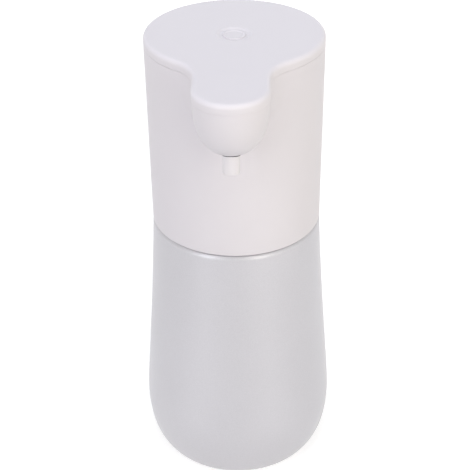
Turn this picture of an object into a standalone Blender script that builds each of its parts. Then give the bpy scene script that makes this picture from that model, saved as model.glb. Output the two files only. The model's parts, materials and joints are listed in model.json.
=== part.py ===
"""Automatic soap dispenser: a screw-on pump head over a flared soap bottle.

Metres, +Z up. The origin is the centre of the foot pad's underside, on the axis of the
bottle, and the spout points toward -Y. Run with blender --background --python part.py.
"""
import bmesh
import bpy
from math import acos, atan2, ceil, cos, hypot, pi, radians, sin, sqrt, tan
from mathutils import Matrix, Vector

# Overall sizes
SEAM_HEIGHT = 0.1270
HEAD_HEIGHT = 0.0860
HEAD_RADIUS = 0.0375
SPOUT_OVERHANG = 0.0317

# Clearances
SEAT_GAP = 0.0003
SEAM_GAP = 0.0004
OVERRUN = 0.0010
EMBED = 0.0005

# Facets
ROUND_SEGMENTS = 40
MIDDLE_SEGMENTS = 18
SMALL_SEGMENTS = 10
SCREW_SEGMENTS = 8
TUBE_SIDES = 8
LEAD_SIDES = 5
SHARP_ANGLE = radians(32)

# Bottle
FOOT_RADIUS = 0.0356
BELLY_RADIUS = 0.0447
BELLY_HEIGHT = 0.0259
SHOULDER_PROUD = 0.0001
SHOULDER_ROUND = 0.0012
BOTTLE_WALL = 0.0020
FLARE_LEAN_SHARE = 0.053
FLARE_TOP_SHARE = 0.473
FLARE_FOOT_SHARE = 0.101
CORNER_DROP_SHARE = 0.789
CORNER_REACH_SHARE = 0.311
FLARE_STEPS = 7
CORNER_STEPS = 5
ROUND_STEPS = 2
INNER_STRIDE = 3

# Foot pad
PAD_MARGIN = 0.0043
PAD_THICKNESS = 0.0016
PAD_PROUD = 0.0004
PAD_EDGE = 0.0004

# Neck, screw thread and gasket
NECK_WALL = 0.0022
NECK_HEIGHT = 0.0105
NECK_CHAMFER = 0.0006
THREAD_LEAD = 0.0040
THREAD_DEPTH = 0.0015
THREAD_ROOT_WIDTH = 0.0017
THREAD_CREST_WIDTH = 0.0009
THREAD_TURNS = 1.25
THREAD_START = 0.0034
THREAD_PLAY = 0.0002
THREAD_CREST_GAP = 0.0004
THREAD_RUNOUT_STEPS = 3
GASKET_INSET = 0.0004
GASKET_OVERHANG = 0.0008
GASKET_THICKNESS = 0.0014

# Housing and top cover
HOUSING_WALL = 0.0022
COVER_DEPTH = 0.0040
COVER_PLATE = 0.0022
COVER_ROUND = 0.0019
LIP_WALL = 0.0012
LIP_DEPTH = 0.0030
SPOUT_HALF_WIDTH = 0.0148
SPOUT_INSET = 0.0002
SPOUT_DEPTH = 0.0217
SPOUT_FLAT = 0.0039
SPOUT_POWER = 2.5
SPOUT_ROOT_DROP = 0.0005
SHOULDER_FILLET = 0.0180
DOME_FILLET = 0.0060
BACK_STEPS = 28
FILLET_STEPS = 3
NOSE_STEPS = 10
DOME_STEPS = 5
INNER_DOME_STEPS = 3
COVER_ROUND_STEPS = 3

# Power button and the switch under it
BUTTON_BACKSET = 0.0029
BUTTON_RADIUS = 0.0046
BUTTON_ROUND = 0.0006
BUTTON_SUNK = 0.0005
BUTTON_FLANGE_WIDTH = 0.0012
BUTTON_FLANGE = 0.0008
BUTTON_STEM_RADIUS = 0.0015
BUTTON_STEM = 0.0012
DISH_MARGIN = 0.0028
DISH_DEPTH = 0.0006
DISH_WALL = 0.0008
GUIDE_WALL = 0.0010
GUIDE_DEPTH = 0.0022
SWITCH_SIZE = 0.0060
SWITCH_HEIGHT = 0.0036
PLUNGER_RADIUS = 0.0016
PLUNGER_SUNK = 0.0014
PRESS_ROOM = 0.0008

# Main board
BOARD_DROP = 0.0075
BOARD_MARGIN = 0.0073
BOARD_THICKNESS = 0.0016
BOARD_BOSS_RADIUS = 0.0026
BOARD_SCREW_INSET = 0.0045
BOARD_SCREW_ANGLES = (radians(90), radians(210), radians(330))
CHIP_SIZE = 0.0050
CHIP_HEIGHT = 0.0012
CHIP_OFFSET = 0.0120

# Screws
SCREW_HEAD_RADIUS = 0.0021
SCREW_HEAD_HEIGHT = 0.0014
SCREW_RADIUS = 0.0011
SCREW_LENGTH = 0.0050
SMALL_HEAD_RADIUS = 0.0016
SMALL_HEAD_HEIGHT = 0.0010
SMALL_SCREW_RADIUS = 0.0008
SMALL_SCREW_LENGTH = 0.0038
SCREW_TIP_ROOM = 0.0008

# Chassis
CHASSIS_THICKNESS = 0.0024
SKIRT_WALL = 0.0018
SKIRT_MARGIN = 0.0018
SKIRT_CLEARANCE = 0.0008
HOUSING_SCREW_INSET = 0.0048
HOUSING_SCREW_ANGLES = (radians(120), radians(222), radians(338))
HOUSING_BOSS_RADIUS = 0.0032
HOUSING_BOSS_HEIGHT = 0.0080
LUG_THICKNESS = 0.0024
PUMP_BOSS_RADIUS = 0.0030
PUMP_BOSS_HEIGHT = 0.0037

# Gear pump
DRIVE_X = -0.0120
DRIVE_Y = -0.0040
GEAR_TEETH = 10
GEAR_MODULE = 0.0010
GEAR_ADDENDUM_SHARE = 0.85
GEAR_DEDENDUM_SHARE = 1.20
GEAR_PRESSURE = radians(20)
GEAR_BACKLASH = 0.00012
GEAR_CENTRE_EXTRA = 0.0001
GEAR_WIDTH = 0.0070
FLANK_STEPS = 3
PUMP_END_STEPS = 8
GEAR_SIDE_GAP = 0.0003
GEAR_TIP_GAP = 0.0003
PUMP_WALL = 0.0026
PUMP_HEIGHT = 0.0100
PUMP_GASKET = 0.0008
PUMP_COVER = 0.0040
PUMP_EAR_RADIUS = 0.0030
PUMP_EAR_STANDOFF = 0.0021
DRIVER_CLEARANCE = 0.0006
DRIVE_EAR_TURN = radians(150)
IDLER_EAR_TURNS = (radians(92), radians(-73))
PORT_OFFSET = 0.0046
PORT_POCKET_RADIUS = 0.0016
PORT_BORE_RADIUS = 0.0009
IDLER_PIN_RADIUS = 0.0012
IDLER_RUNNING_GAP = 0.0002
PIN_SEAT = 0.0015
SHAFT_RADIUS = 0.0011
SHAFT_FLAT = 0.0007
SEAL_RADIUS = 0.0028
SEAL_THICKNESS = 0.0011
SEAL_RECESS = 0.0015

# Tubes and spigots
INLET_SPIGOT_RADIUS = 0.0017
INLET_SPIGOT_REACH = 0.0060
OUTLET_SPIGOT_RADIUS = 0.0015
OUTLET_SPIGOT_LENGTH = 0.0045
TUBE_WALL = 0.0010
DIP_END_OFFSET = 0.0140
DIP_END_CLEARANCE = 0.0045
STRAINER_WALL = 0.0014
STRAINER_HEIGHT = 0.0080
STRAINER_SLOT = 0.0012
STRAINER_SLOT_HEIGHT = 0.0030
INLET_SEAL_RADIUS = 0.0040
RISER_SETBACK = 0.0060
TUBE_BEND = 0.0070
ROUTE_STEPS = 2

# Motor
MOTOR_RADIUS = 0.0121
MOTOR_HEADROOM = 0.0093
MOTOR_ROUND = 0.0008
MOTOR_BOSS_RADIUS = 0.0030
MOTOR_BOSS_HEIGHT = 0.0012
MOTOR_SCREW_INSET = 0.0036
MOTOR_SCREW_GRIP = 0.0030
END_CAP_STEP = 0.0009
END_CAP_HEIGHT = 0.0024
TERMINAL_OFFSET = 0.0060
TERMINAL_WIDTH = 0.0020
TERMINAL_THICKNESS = 0.0006
TERMINAL_HEIGHT = 0.0065

# Battery
CELL_MARGIN = 0.0016
CELL_BOARD_GAP = 0.0008
CELL_RADIUS = 0.0091
CELL_NUB_RADIUS = 0.0028
CELL_NUB_HEIGHT = 0.0010
CELL_ROUND = 0.0006
CUP_WALL = 0.0014
CUP_HEIGHT = 0.0120
CELL_PAD_RADIUS = 0.0070
CELL_PAD_THICKNESS = 0.0090

# Charging socket and its plug
CHARGE_BOARD_WIDTH = 0.0170
CHARGE_BOARD_DEPTH = 0.0120
CHARGE_BOARD_THICKNESS = 0.0012
CHARGE_BOARD_HEIGHT = 0.0060
CHARGE_POST_RADIUS = 0.0020
CHARGE_SCREW_OFFSET = 0.0062
CHARGE_SETBACK = 0.0019
SOCKET_WIDTH = 0.0089
SOCKET_HEIGHT = 0.0033
SOCKET_LENGTH = 0.0073
SOCKET_WALL = 0.0003
SOCKET_SETBACK = 0.0011
SOCKET_DEPTH = 0.0062
TONGUE_WIDTH = 0.0067
TONGUE_THICKNESS = 0.0007
TONGUE_LENGTH = 0.0050
PORT_MARGIN = 0.0008
PLUG_RIM = 0.0014
PLUG_RIM_DEPTH = 0.0013
PORT_CORNER_STEPS = 4

# Nozzle, its ring and the sensor in the spout
NOZZLE_RADIUS = 0.0030
NOZZLE_DROP = 0.0090
NOZZLE_TIP_ROUND = 0.0006
NOZZLE_MOUTH_WALL = 0.0012
NOZZLE_MOUTH_DEPTH = 0.0020
NOZZLE_FLANGE_WIDTH = 0.0020
NOZZLE_FLANGE = 0.0012
NOZZLE_BARB = 0.0060
NOZZLE_BORE_RADIUS = 0.0009
RING_WIDTH = 0.00055
RING_GAP = 0.0002
RING_THICKNESS = 0.0006
WINDOW_BACKSET = 0.0125
WINDOW_RADIUS = 0.0036
WINDOW_FLANGE_WIDTH = 0.0010
WINDOW_FLANGE = 0.0010
SENSOR_BOARD_WIDTH = 0.0180
SENSOR_BOARD_DEPTH = 0.0090
SENSOR_BOARD_THICKNESS = 0.0010
SENSOR_BOARD_LIFT = 0.0076
SENSOR_SCREW_OFFSET = 0.0068
SENSOR_POST_RADIUS = 0.0017
SENSOR_LAMP_RADIUS = 0.0015
SENSOR_LAMP_OFFSET = 0.0019

# Leads
LEAD_RADIUS = 0.0007
LEAD_SLACK = 0.0030

# Heights that follow from the sizes above
TOTAL_HEIGHT = SEAM_HEIGHT + HEAD_HEIGHT
SHOULDER_TOP = SEAM_HEIGHT - SEAM_GAP / 2
HOUSING_BASE = SEAM_HEIGHT + SEAM_GAP / 2
COVER_SEAM = TOTAL_HEIGHT - COVER_DEPTH
HOUSING_TOP = COVER_SEAM - SEAT_GAP / 2
COVER_BASE = COVER_SEAM + SEAT_GAP / 2
PLATE_UNDERSIDE = TOTAL_HEIGHT - COVER_PLATE
NECK_TOP = SHOULDER_TOP + NECK_HEIGHT
CHASSIS_UNDERSIDE = NECK_TOP + GASKET_THICKNESS + 2 * SEAT_GAP
CHASSIS_TOP = CHASSIS_UNDERSIDE + CHASSIS_THICKNESS
PUMP_BASE = CHASSIS_TOP + PUMP_BOSS_HEIGHT + SEAT_GAP
PUMP_TOP = PUMP_BASE + PUMP_HEIGHT
POCKET_FLOOR = PUMP_TOP - GEAR_WIDTH - GEAR_SIDE_GAP
PUMP_GASKET_BASE = PUMP_TOP + SEAT_GAP
PUMP_COVER_BASE = PUMP_GASKET_BASE + PUMP_GASKET + SEAT_GAP
PUMP_COVER_TOP = PUMP_COVER_BASE + PUMP_COVER
MOTOR_BASE = PUMP_COVER_TOP + SEAT_GAP
BOARD_TOP = PLATE_UNDERSIDE - BOARD_DROP - SEAT_GAP
BOARD_UNDERSIDE = BOARD_TOP - BOARD_THICKNESS
END_CAP_TOP = BOARD_UNDERSIDE - MOTOR_HEADROOM
END_CAP_BASE = END_CAP_TOP - END_CAP_HEIGHT
MOTOR_TOP = END_CAP_BASE - SEAT_GAP
CELL_BASE = CHASSIS_TOP + SEAT_GAP
CELL_TOP = BOARD_UNDERSIDE - CELL_PAD_THICKNESS - 2 * SEAT_GAP
CHARGE_BOARD_BASE = CHASSIS_TOP + CHARGE_BOARD_HEIGHT
CHARGE_BOARD_TOP = CHARGE_BOARD_BASE + CHARGE_BOARD_THICKNESS
SOCKET_BASE = CHARGE_BOARD_TOP + SEAT_GAP
SOCKET_MIDDLE = SOCKET_BASE + SOCKET_HEIGHT / 2
SPOUT_BOTTOM = HOUSING_TOP - SPOUT_DEPTH
SPOUT_FLOOR = SPOUT_BOTTOM + HOUSING_WALL
SENSOR_BOARD_BASE = SPOUT_BOTTOM + SENSOR_BOARD_LIFT

# Widths and plan positions that follow
HOUSING_BORE = HEAD_RADIUS - HOUSING_WALL
SHOULDER_RADIUS = HEAD_RADIUS + SHOULDER_PROUD
PAD_RADIUS = FOOT_RADIUS - PAD_MARGIN
SKIRT_RADIUS = HOUSING_BORE - SKIRT_MARGIN - SKIRT_WALL
NECK_RADIUS = SKIRT_RADIUS - THREAD_CREST_GAP - THREAD_DEPTH
NECK_BORE_RADIUS = NECK_RADIUS - NECK_WALL
BUTTON_FLANGE_RADIUS = BUTTON_RADIUS + BUTTON_FLANGE_WIDTH
BOARD_RADIUS = HOUSING_BORE - BOARD_MARGIN
BOARD_SCREW_CIRCLE = BOARD_RADIUS - BOARD_SCREW_INSET
HOUSING_SCREW_CIRCLE = HOUSING_BORE - HOUSING_SCREW_INSET
NOZZLE_FLANGE_RADIUS = NOZZLE_RADIUS + NOZZLE_FLANGE_WIDTH
WINDOW_FLANGE_RADIUS = WINDOW_RADIUS + WINDOW_FLANGE_WIDTH
PORT_WIDTH = SOCKET_WIDTH + 2 * PORT_MARGIN
PORT_HEIGHT = SOCKET_HEIGHT + 2 * PORT_MARGIN
CUP_RADIUS = CELL_RADIUS + SEAT_GAP + CUP_WALL
SPOUT_REACH = HEAD_RADIUS + SPOUT_OVERHANG
NOSE_Y = SPOUT_REACH - SPOUT_HALF_WIDTH
GEAR_PITCH_RADIUS = GEAR_MODULE * GEAR_TEETH / 2
GEAR_TIP_RADIUS = GEAR_PITCH_RADIUS + GEAR_ADDENDUM_SHARE * GEAR_MODULE
GEAR_ROOT_RADIUS = GEAR_PITCH_RADIUS - GEAR_DEDENDUM_SHARE * GEAR_MODULE
GEAR_CENTRES = 2 * GEAR_PITCH_RADIUS + GEAR_CENTRE_EXTRA
POCKET_RADIUS = GEAR_TIP_RADIUS + GEAR_TIP_GAP
IDLER_X = DRIVE_X + GEAR_CENTRES
PORT_X = DRIVE_X + GEAR_CENTRES / 2
INLET_Y = DRIVE_Y + PORT_OFFSET
OUTLET_Y = DRIVE_Y - PORT_OFFSET
OUTLET_Z = POCKET_FLOOR + GEAR_WIDTH / 2
PUMP_END_RADIUS = POCKET_RADIUS + PUMP_WALL
PUMP_FRONT_Y = DRIVE_Y - PUMP_END_RADIUS
MOTOR_SCREW_OFFSET = MOTOR_RADIUS - MOTOR_SCREW_INSET
SPIGOT_END = CHASSIS_UNDERSIDE - INLET_SPIGOT_REACH
WINDOW_Y = -(NOSE_Y - WINDOW_BACKSET)
CHARGE_REAR_Y = HOUSING_BORE - CHARGE_SETBACK
CHARGE_FRONT_Y = CHARGE_REAR_Y - CHARGE_BOARD_DEPTH
CHARGE_CORNER = hypot(CHARGE_BOARD_WIDTH / 2, CHARGE_FRONT_Y)
CELL_CIRCLE = HOUSING_BORE - CELL_MARGIN - CUP_RADIUS
CELL_TO_CORNER = CUP_RADIUS + CELL_BOARD_GAP
CELL_SPREAD = acos((CELL_CIRCLE ** 2 + CHARGE_CORNER ** 2 - CELL_TO_CORNER ** 2)
                   / (2 * CELL_CIRCLE * CHARGE_CORNER))
CELL_TURN = atan2(CHARGE_FRONT_Y, CHARGE_BOARD_WIDTH / 2) - CELL_SPREAD
CELL_X = CELL_CIRCLE * cos(CELL_TURN)
CELL_Y = CELL_CIRCLE * sin(CELL_TURN)
SOCKET_REAR_Y = HOUSING_BORE - SOCKET_SETBACK
TUBE_RADIUS = OUTLET_SPIGOT_RADIUS + SEAT_GAP + TUBE_WALL
DIP_RADIUS = INLET_SPIGOT_RADIUS + SEAT_GAP + TUBE_WALL

# Finishes: colour, roughness, metallic
WHITE_PLASTIC = ((0.76, 0.74, 0.76), 0.34, 0.0)
WHITE_COVER = ((0.78, 0.76, 0.80), 0.38, 0.0)
PEARL_SILVER = ((0.62, 0.62, 0.65), 0.30, 0.55)
BLACK_RUBBER = ((0.03, 0.03, 0.03), 0.80, 0.0)
CLEAR_SILICONE = ((0.78, 0.79, 0.80), 0.45, 0.0)
GREY_PLASTIC = ((0.22, 0.23, 0.24), 0.50, 0.0)
NYLON = ((0.86, 0.84, 0.78), 0.45, 0.0)
STEEL = ((0.60, 0.61, 0.62), 0.28, 1.0)
BRASS = ((0.72, 0.56, 0.28), 0.32, 1.0)
BOARD_GREEN = ((0.03, 0.20, 0.09), 0.45, 0.0)
CELL_BLUE = ((0.04, 0.16, 0.42), 0.40, 0.0)
DARK_LENS = ((0.03, 0.01, 0.03), 0.10, 0.0)
BLACK_SHEATH = ((0.02, 0.02, 0.02), 0.55, 0.0)


def clear_scene():
    """Removes whatever the open scene holds."""
    for item in list(bpy.data.objects):
        bpy.data.objects.remove(item, do_unlink=True)


def finish(name, look):
    """A plain Principled material of the given look."""
    colour, roughness, metallic = look
    material = bpy.data.materials.new(name + "_finish")
    material.use_nodes = True
    shader = material.node_tree.nodes["Principled BSDF"]
    shader.inputs["Base Color"].default_value = (*colour, 1.0)
    shader.inputs["Roughness"].default_value = roughness
    shader.inputs["Metallic"].default_value = metallic
    material.diffuse_color = (*colour, 1.0)
    return material


def placed(name, bm):
    """A scene object from a bmesh, with its faces pointing out."""
    bmesh.ops.recalc_face_normals(bm, faces=bm.faces)
    mesh = bpy.data.meshes.new(name)
    bm.to_mesh(mesh)
    bm.free()
    item = bpy.data.objects.new(name, mesh)
    bpy.context.scene.collection.objects.link(item)
    return item


def solid(name, bm, look, parent=None, at=(0, 0, 0)):
    """One real piece, smooth on its round faces."""
    piece = placed(name, bm)
    piece.location = at
    piece.parent = parent
    piece.data.materials.append(finish(name, look))
    piece.data.shade_smooth()
    piece.data.set_sharp_from_angle(angle=SHARP_ANGLE)
    return piece


def combine(piece, label, bm, operation, crossing=False):
    """Cuts, joins or trims a piece with a hidden tool; crossing says that the tool crosses itself."""
    helper = placed(piece.name + "_" + label, bm)
    helper.parent = piece.parent
    helper.location = piece.location
    helper.hide_render = True
    helper.display_type = "WIRE"
    modifier = piece.modifiers.new(label, "BOOLEAN")
    modifier.operation = operation
    modifier.solver = "EXACT"
    modifier.use_self = crossing
    modifier.object = helper


def cut(piece, label, bm):
    combine(piece, label, bm, "DIFFERENCE")


def join(piece, label, bm, crossing=False):
    combine(piece, label, bm, "UNION", crossing)


def skin(bm, rings, loop=False):
    """Faces between closed rings in turn; a ring of one point is a pole."""
    rows = [[bm.verts.new(point) for point in ring] for ring in rings]
    pairs = list(zip(rows, rows[1:]))
    if loop:
        pairs.append((rows[-1], rows[0]))
    for low, high in pairs:
        count = max(len(low), len(high))
        for i in range(count):
            j = (i + 1) % count
            corners = (low[i % len(low)], low[j % len(low)], high[j % len(high)], high[i % len(high)])
            bm.faces.new(list(dict.fromkeys(corners)))
    if not loop:
        for row in (rows[0], rows[-1]):
            if len(row) > 1:
                bm.faces.new(row)


def turned(bm, profile, segments=SMALL_SEGMENTS, loop=False, place=None):
    """A turned shape from (radius, height) points; loop closes the profile on itself."""
    place = place or Matrix.Identity(4)
    rings = []
    for radius, height in profile:
        count = segments if radius else 1
        angles = [2 * pi * i / segments for i in range(count)]
        rings.append([place @ Vector((radius * cos(a), radius * sin(a), height)) for a in angles])
    skin(bm, rings, loop)


def rod(bm, radius, low, high, at=(0, 0), segments=SMALL_SEGMENTS):
    """An upright cylinder between two heights."""
    place = Matrix.Translation((at[0], at[1], 0))
    turned(bm, [(0, low), (radius, low), (radius, high), (0, high)], segments, place=place)


def tube(bm, inner, outer, low, high, at=(0, 0), segments=SMALL_SEGMENTS):
    """An upright tube between two heights."""
    place = Matrix.Translation((at[0], at[1], 0))
    turned(bm, [(inner, low), (outer, low), (outer, high), (inner, high)], segments, True, place)


def block(bm, low, high):
    """A box between two corners."""
    size = Vector(high) - Vector(low)
    middle = (Vector(high) + Vector(low)) / 2
    bmesh.ops.create_cube(bm, size=1, matrix=Matrix.Translation(middle) @ Matrix.Diagonal((*size, 1)))


def prism(bm, outline, low, high):
    """An upright prism over a closed outline."""
    skin(bm, [[(x, y, z) for x, y in outline] for z in (low, high)])


def polar(radius, angle):
    """The point at a radius and an angle."""
    return radius * cos(angle), radius * sin(angle)


def arc(centre, radius, start, end, steps):
    """Points along an arc, both ends included."""
    turns = [start + (end - start) * i / steps for i in range(steps + 1)]
    return [(centre[0] + radius * cos(a), centre[1] + radius * sin(a)) for a in turns]


def bezier(points, steps):
    """Points along a cubic Bezier curve, without its first."""
    found = []
    for i in range(1, steps + 1):
        t = i / steps
        weights = ((1 - t) ** 3, 3 * t * (1 - t) ** 2, 3 * t * t * (1 - t), t ** 3)
        found.append(tuple(sum(w * p[k] for w, p in zip(weights, points)) for k in range(2)))
    return found


def stadium(centre_a, centre_b, radius, steps):
    """The outline round two equal circles that lie side by side along X."""
    right = arc(centre_b, radius, -pi / 2, pi / 2, steps)
    left = arc(centre_a, radius, pi / 2, 3 * pi / 2, steps)
    return right + left


def rounded_slot(half_width, half_height, steps):
    """An outline with fully rounded ends."""
    middle = half_width - half_height
    return stadium((-middle, 0), (middle, 0), half_height, steps)


def smooth_route(points):
    """Points along a smooth curve through a route's own points, without overshoot at uneven steps."""
    knots = [Vector(p) for p in points]
    padded = [2 * knots[0] - knots[1]] + knots + [2 * knots[-1] - knots[-2]]
    route = [knots[0]]
    for a, b, c, d in zip(padded, padded[1:], padded[2:], padded[3:]):
        t1 = sqrt((b - a).length)
        t2 = t1 + sqrt((c - b).length)
        t3 = t2 + sqrt((d - c).length)
        for i in range(1, ROUTE_STEPS + 1):
            t = t1 + (t2 - t1) * i / ROUTE_STEPS
            before = a.lerp(b, t / t1)
            middle = b.lerp(c, (t - t1) / (t2 - t1))
            after = c.lerp(d, (t - t2) / (t3 - t2))
            low = before.lerp(middle, t / t2)
            high = middle.lerp(after, (t - t1) / (t3 - t1))
            route.append(low.lerp(high, (t - t1) / (t2 - t1)))
    return route


def route_rings(route, radius, sides):
    """Rings square to a route, carried along it without twist."""
    rings = []
    side = None
    for i, point in enumerate(route):
        ahead = route[min(i + 1, len(route) - 1)] - route[max(i - 1, 0)]
        ahead.normalize()
        if side is None:
            side = ahead.orthogonal()
        side = (side - ahead * side.dot(ahead)).normalized()
        up = ahead.cross(side)
        angles = [2 * pi * k / sides for k in range(sides)]
        rings.append([point + radius * (side * cos(a) + up * sin(a)) for a in angles])
    return rings


def screw(name, head_radius, head_height, radius, length, look, parent, at, upward=False):
    """A pan-head screw with its head's seat at the given point; upward turns it head down."""
    crown = head_radius - head_height / 2
    profile = [(0, -length), (radius, -length), (radius, 0), (head_radius, 0), (crown, head_height)]
    profile.append((0, head_height))
    turn = Matrix.Rotation(pi, 4, "X") if upward else Matrix.Identity(4)
    bm = bmesh.new()
    turned(bm, profile, SCREW_SEGMENTS, place=turn)
    return solid(name, bm, look, parent, at)


def foot_pad():
    """The anti-slip pad that the bottle stands on."""
    edge = PAD_RADIUS - PAD_EDGE
    profile = [(0, 0), (edge, 0), (PAD_RADIUS, PAD_EDGE), (PAD_RADIUS, PAD_THICKNESS), (0, PAD_THICKNESS)]
    bm = bmesh.new()
    turned(bm, profile, ROUND_SEGMENTS)
    solid("foot_pad", bm, BLACK_RUBBER)


def thread_ridge(bm, root_radius, crest_radius, start_height):
    """One helical thread ridge, tapered to nothing at both ends."""
    steps = ceil(THREAD_TURNS * ROUND_SEGMENTS)
    buried = root_radius + (EMBED if root_radius > crest_radius else -EMBED)
    rings = []
    for i in range(steps + 1):
        turns = (i + 1 / 2) / ROUND_SEGMENTS
        angle = 2 * pi * turns
        height = start_height + THREAD_LEAD * turns
        rise = min(1, (min(i, steps - i) + 1) / (THREAD_RUNOUT_STEPS + 1))
        top = root_radius + (crest_radius - root_radius) * rise
        section = [(buried, -THREAD_ROOT_WIDTH / 2), (top, -THREAD_CREST_WIDTH / 2)]
        section += [(top, THREAD_CREST_WIDTH / 2), (buried, THREAD_ROOT_WIDTH / 2)]
        rings.append([(*polar(radius, angle), height + dz) for radius, dz in section])
    skin(bm, rings)


def bottle_curve(belly, foot, base, shoulder, top):
    """The bottle's side from its foot up through the corner and the flare to the shoulder."""
    corner = [(foot, base), (foot + (belly - foot) * CORNER_REACH_SHARE, base)]
    corner += [(belly, base + (BELLY_HEIGHT - base) * (1 - CORNER_DROP_SHARE)), (belly, BELLY_HEIGHT)]
    rise = top - BELLY_HEIGHT
    lean = FLARE_LEAN_SHARE * FLARE_TOP_SHARE * rise
    flare = [(belly, BELLY_HEIGHT), (belly, BELLY_HEIGHT + FLARE_FOOT_SHARE * rise)]
    flare += [(shoulder + lean, top - FLARE_TOP_SHARE * rise), (shoulder, top)]
    return [corner[0]] + bezier(corner, CORNER_STEPS) + bezier(flare, FLARE_STEPS)


def bottle():
    """The flared soap bottle with its wide threaded neck."""
    recess = PAD_THICKNESS + SEAT_GAP
    floor = recess + BOTTLE_WALL
    side_top = SHOULDER_TOP - SHOULDER_ROUND
    shelf_under = SHOULDER_TOP - BOTTLE_WALL
    profile = [(0, recess), (PAD_RADIUS + SEAT_GAP, recess), (PAD_RADIUS + SEAT_GAP, PAD_PROUD)]
    profile += bottle_curve(BELLY_RADIUS, FOOT_RADIUS, PAD_PROUD, SHOULDER_RADIUS, side_top)
    centre = (SHOULDER_RADIUS - SHOULDER_ROUND, side_top)
    profile += arc(centre, SHOULDER_ROUND, 0, pi / 2, ROUND_STEPS)[1:]
    profile += [(NECK_RADIUS, SHOULDER_TOP), (NECK_RADIUS, NECK_TOP - NECK_CHAMFER)]
    profile += [(NECK_RADIUS - NECK_CHAMFER, NECK_TOP), (NECK_BORE_RADIUS, NECK_TOP)]
    profile += [(NECK_BORE_RADIUS, shelf_under)]
    inner = bottle_curve(BELLY_RADIUS - BOTTLE_WALL, FOOT_RADIUS - BOTTLE_WALL, floor,
                         SHOULDER_RADIUS - BOTTLE_WALL, shelf_under)
    profile += inner[::-INNER_STRIDE] + [(0, floor)]
    bm = bmesh.new()
    turned(bm, profile, ROUND_SEGMENTS)
    piece = solid("bottle", bm, PEARL_SILVER)
    bm = bmesh.new()
    thread_ridge(bm, NECK_RADIUS, NECK_RADIUS + THREAD_DEPTH, SHOULDER_TOP + THREAD_START)
    join(piece, "thread", bm)


def neck_gasket(parent):
    """The flat silicone ring that seals the head on the neck."""
    low = NECK_TOP + SEAT_GAP
    bm = bmesh.new()
    inner = NECK_BORE_RADIUS + GASKET_INSET
    tube(bm, inner, NECK_RADIUS + GASKET_OVERHANG, 0, GASKET_THICKNESS, segments=ROUND_SEGMENTS)
    solid("neck_gasket", bm, CLEAR_SILICONE, parent, (0, 0, low))


def pump_screw_spots():
    """Where the three pump screws stand: one past the motor, two beside the idler."""
    x, y = polar(MOTOR_RADIUS + SCREW_HEAD_RADIUS + DRIVER_CLEARANCE, DRIVE_EAR_TURN)
    spots = [(DRIVE_X + x, DRIVE_Y + y)]
    for turn in IDLER_EAR_TURNS:
        x, y = polar(PUMP_END_RADIUS + PUMP_EAR_STANDOFF, turn)
        spots.append((IDLER_X + x, DRIVE_Y + y))
    return spots


def web(start, end, half_width, turn):
    """A rectangle's corners round the axis at a turn, from one distance out to another."""
    corners = [(start, -half_width), (end, -half_width), (end, half_width), (start, half_width)]
    return [polar(hypot(x, y), turn + atan2(y, x)) for x, y in corners]


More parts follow.
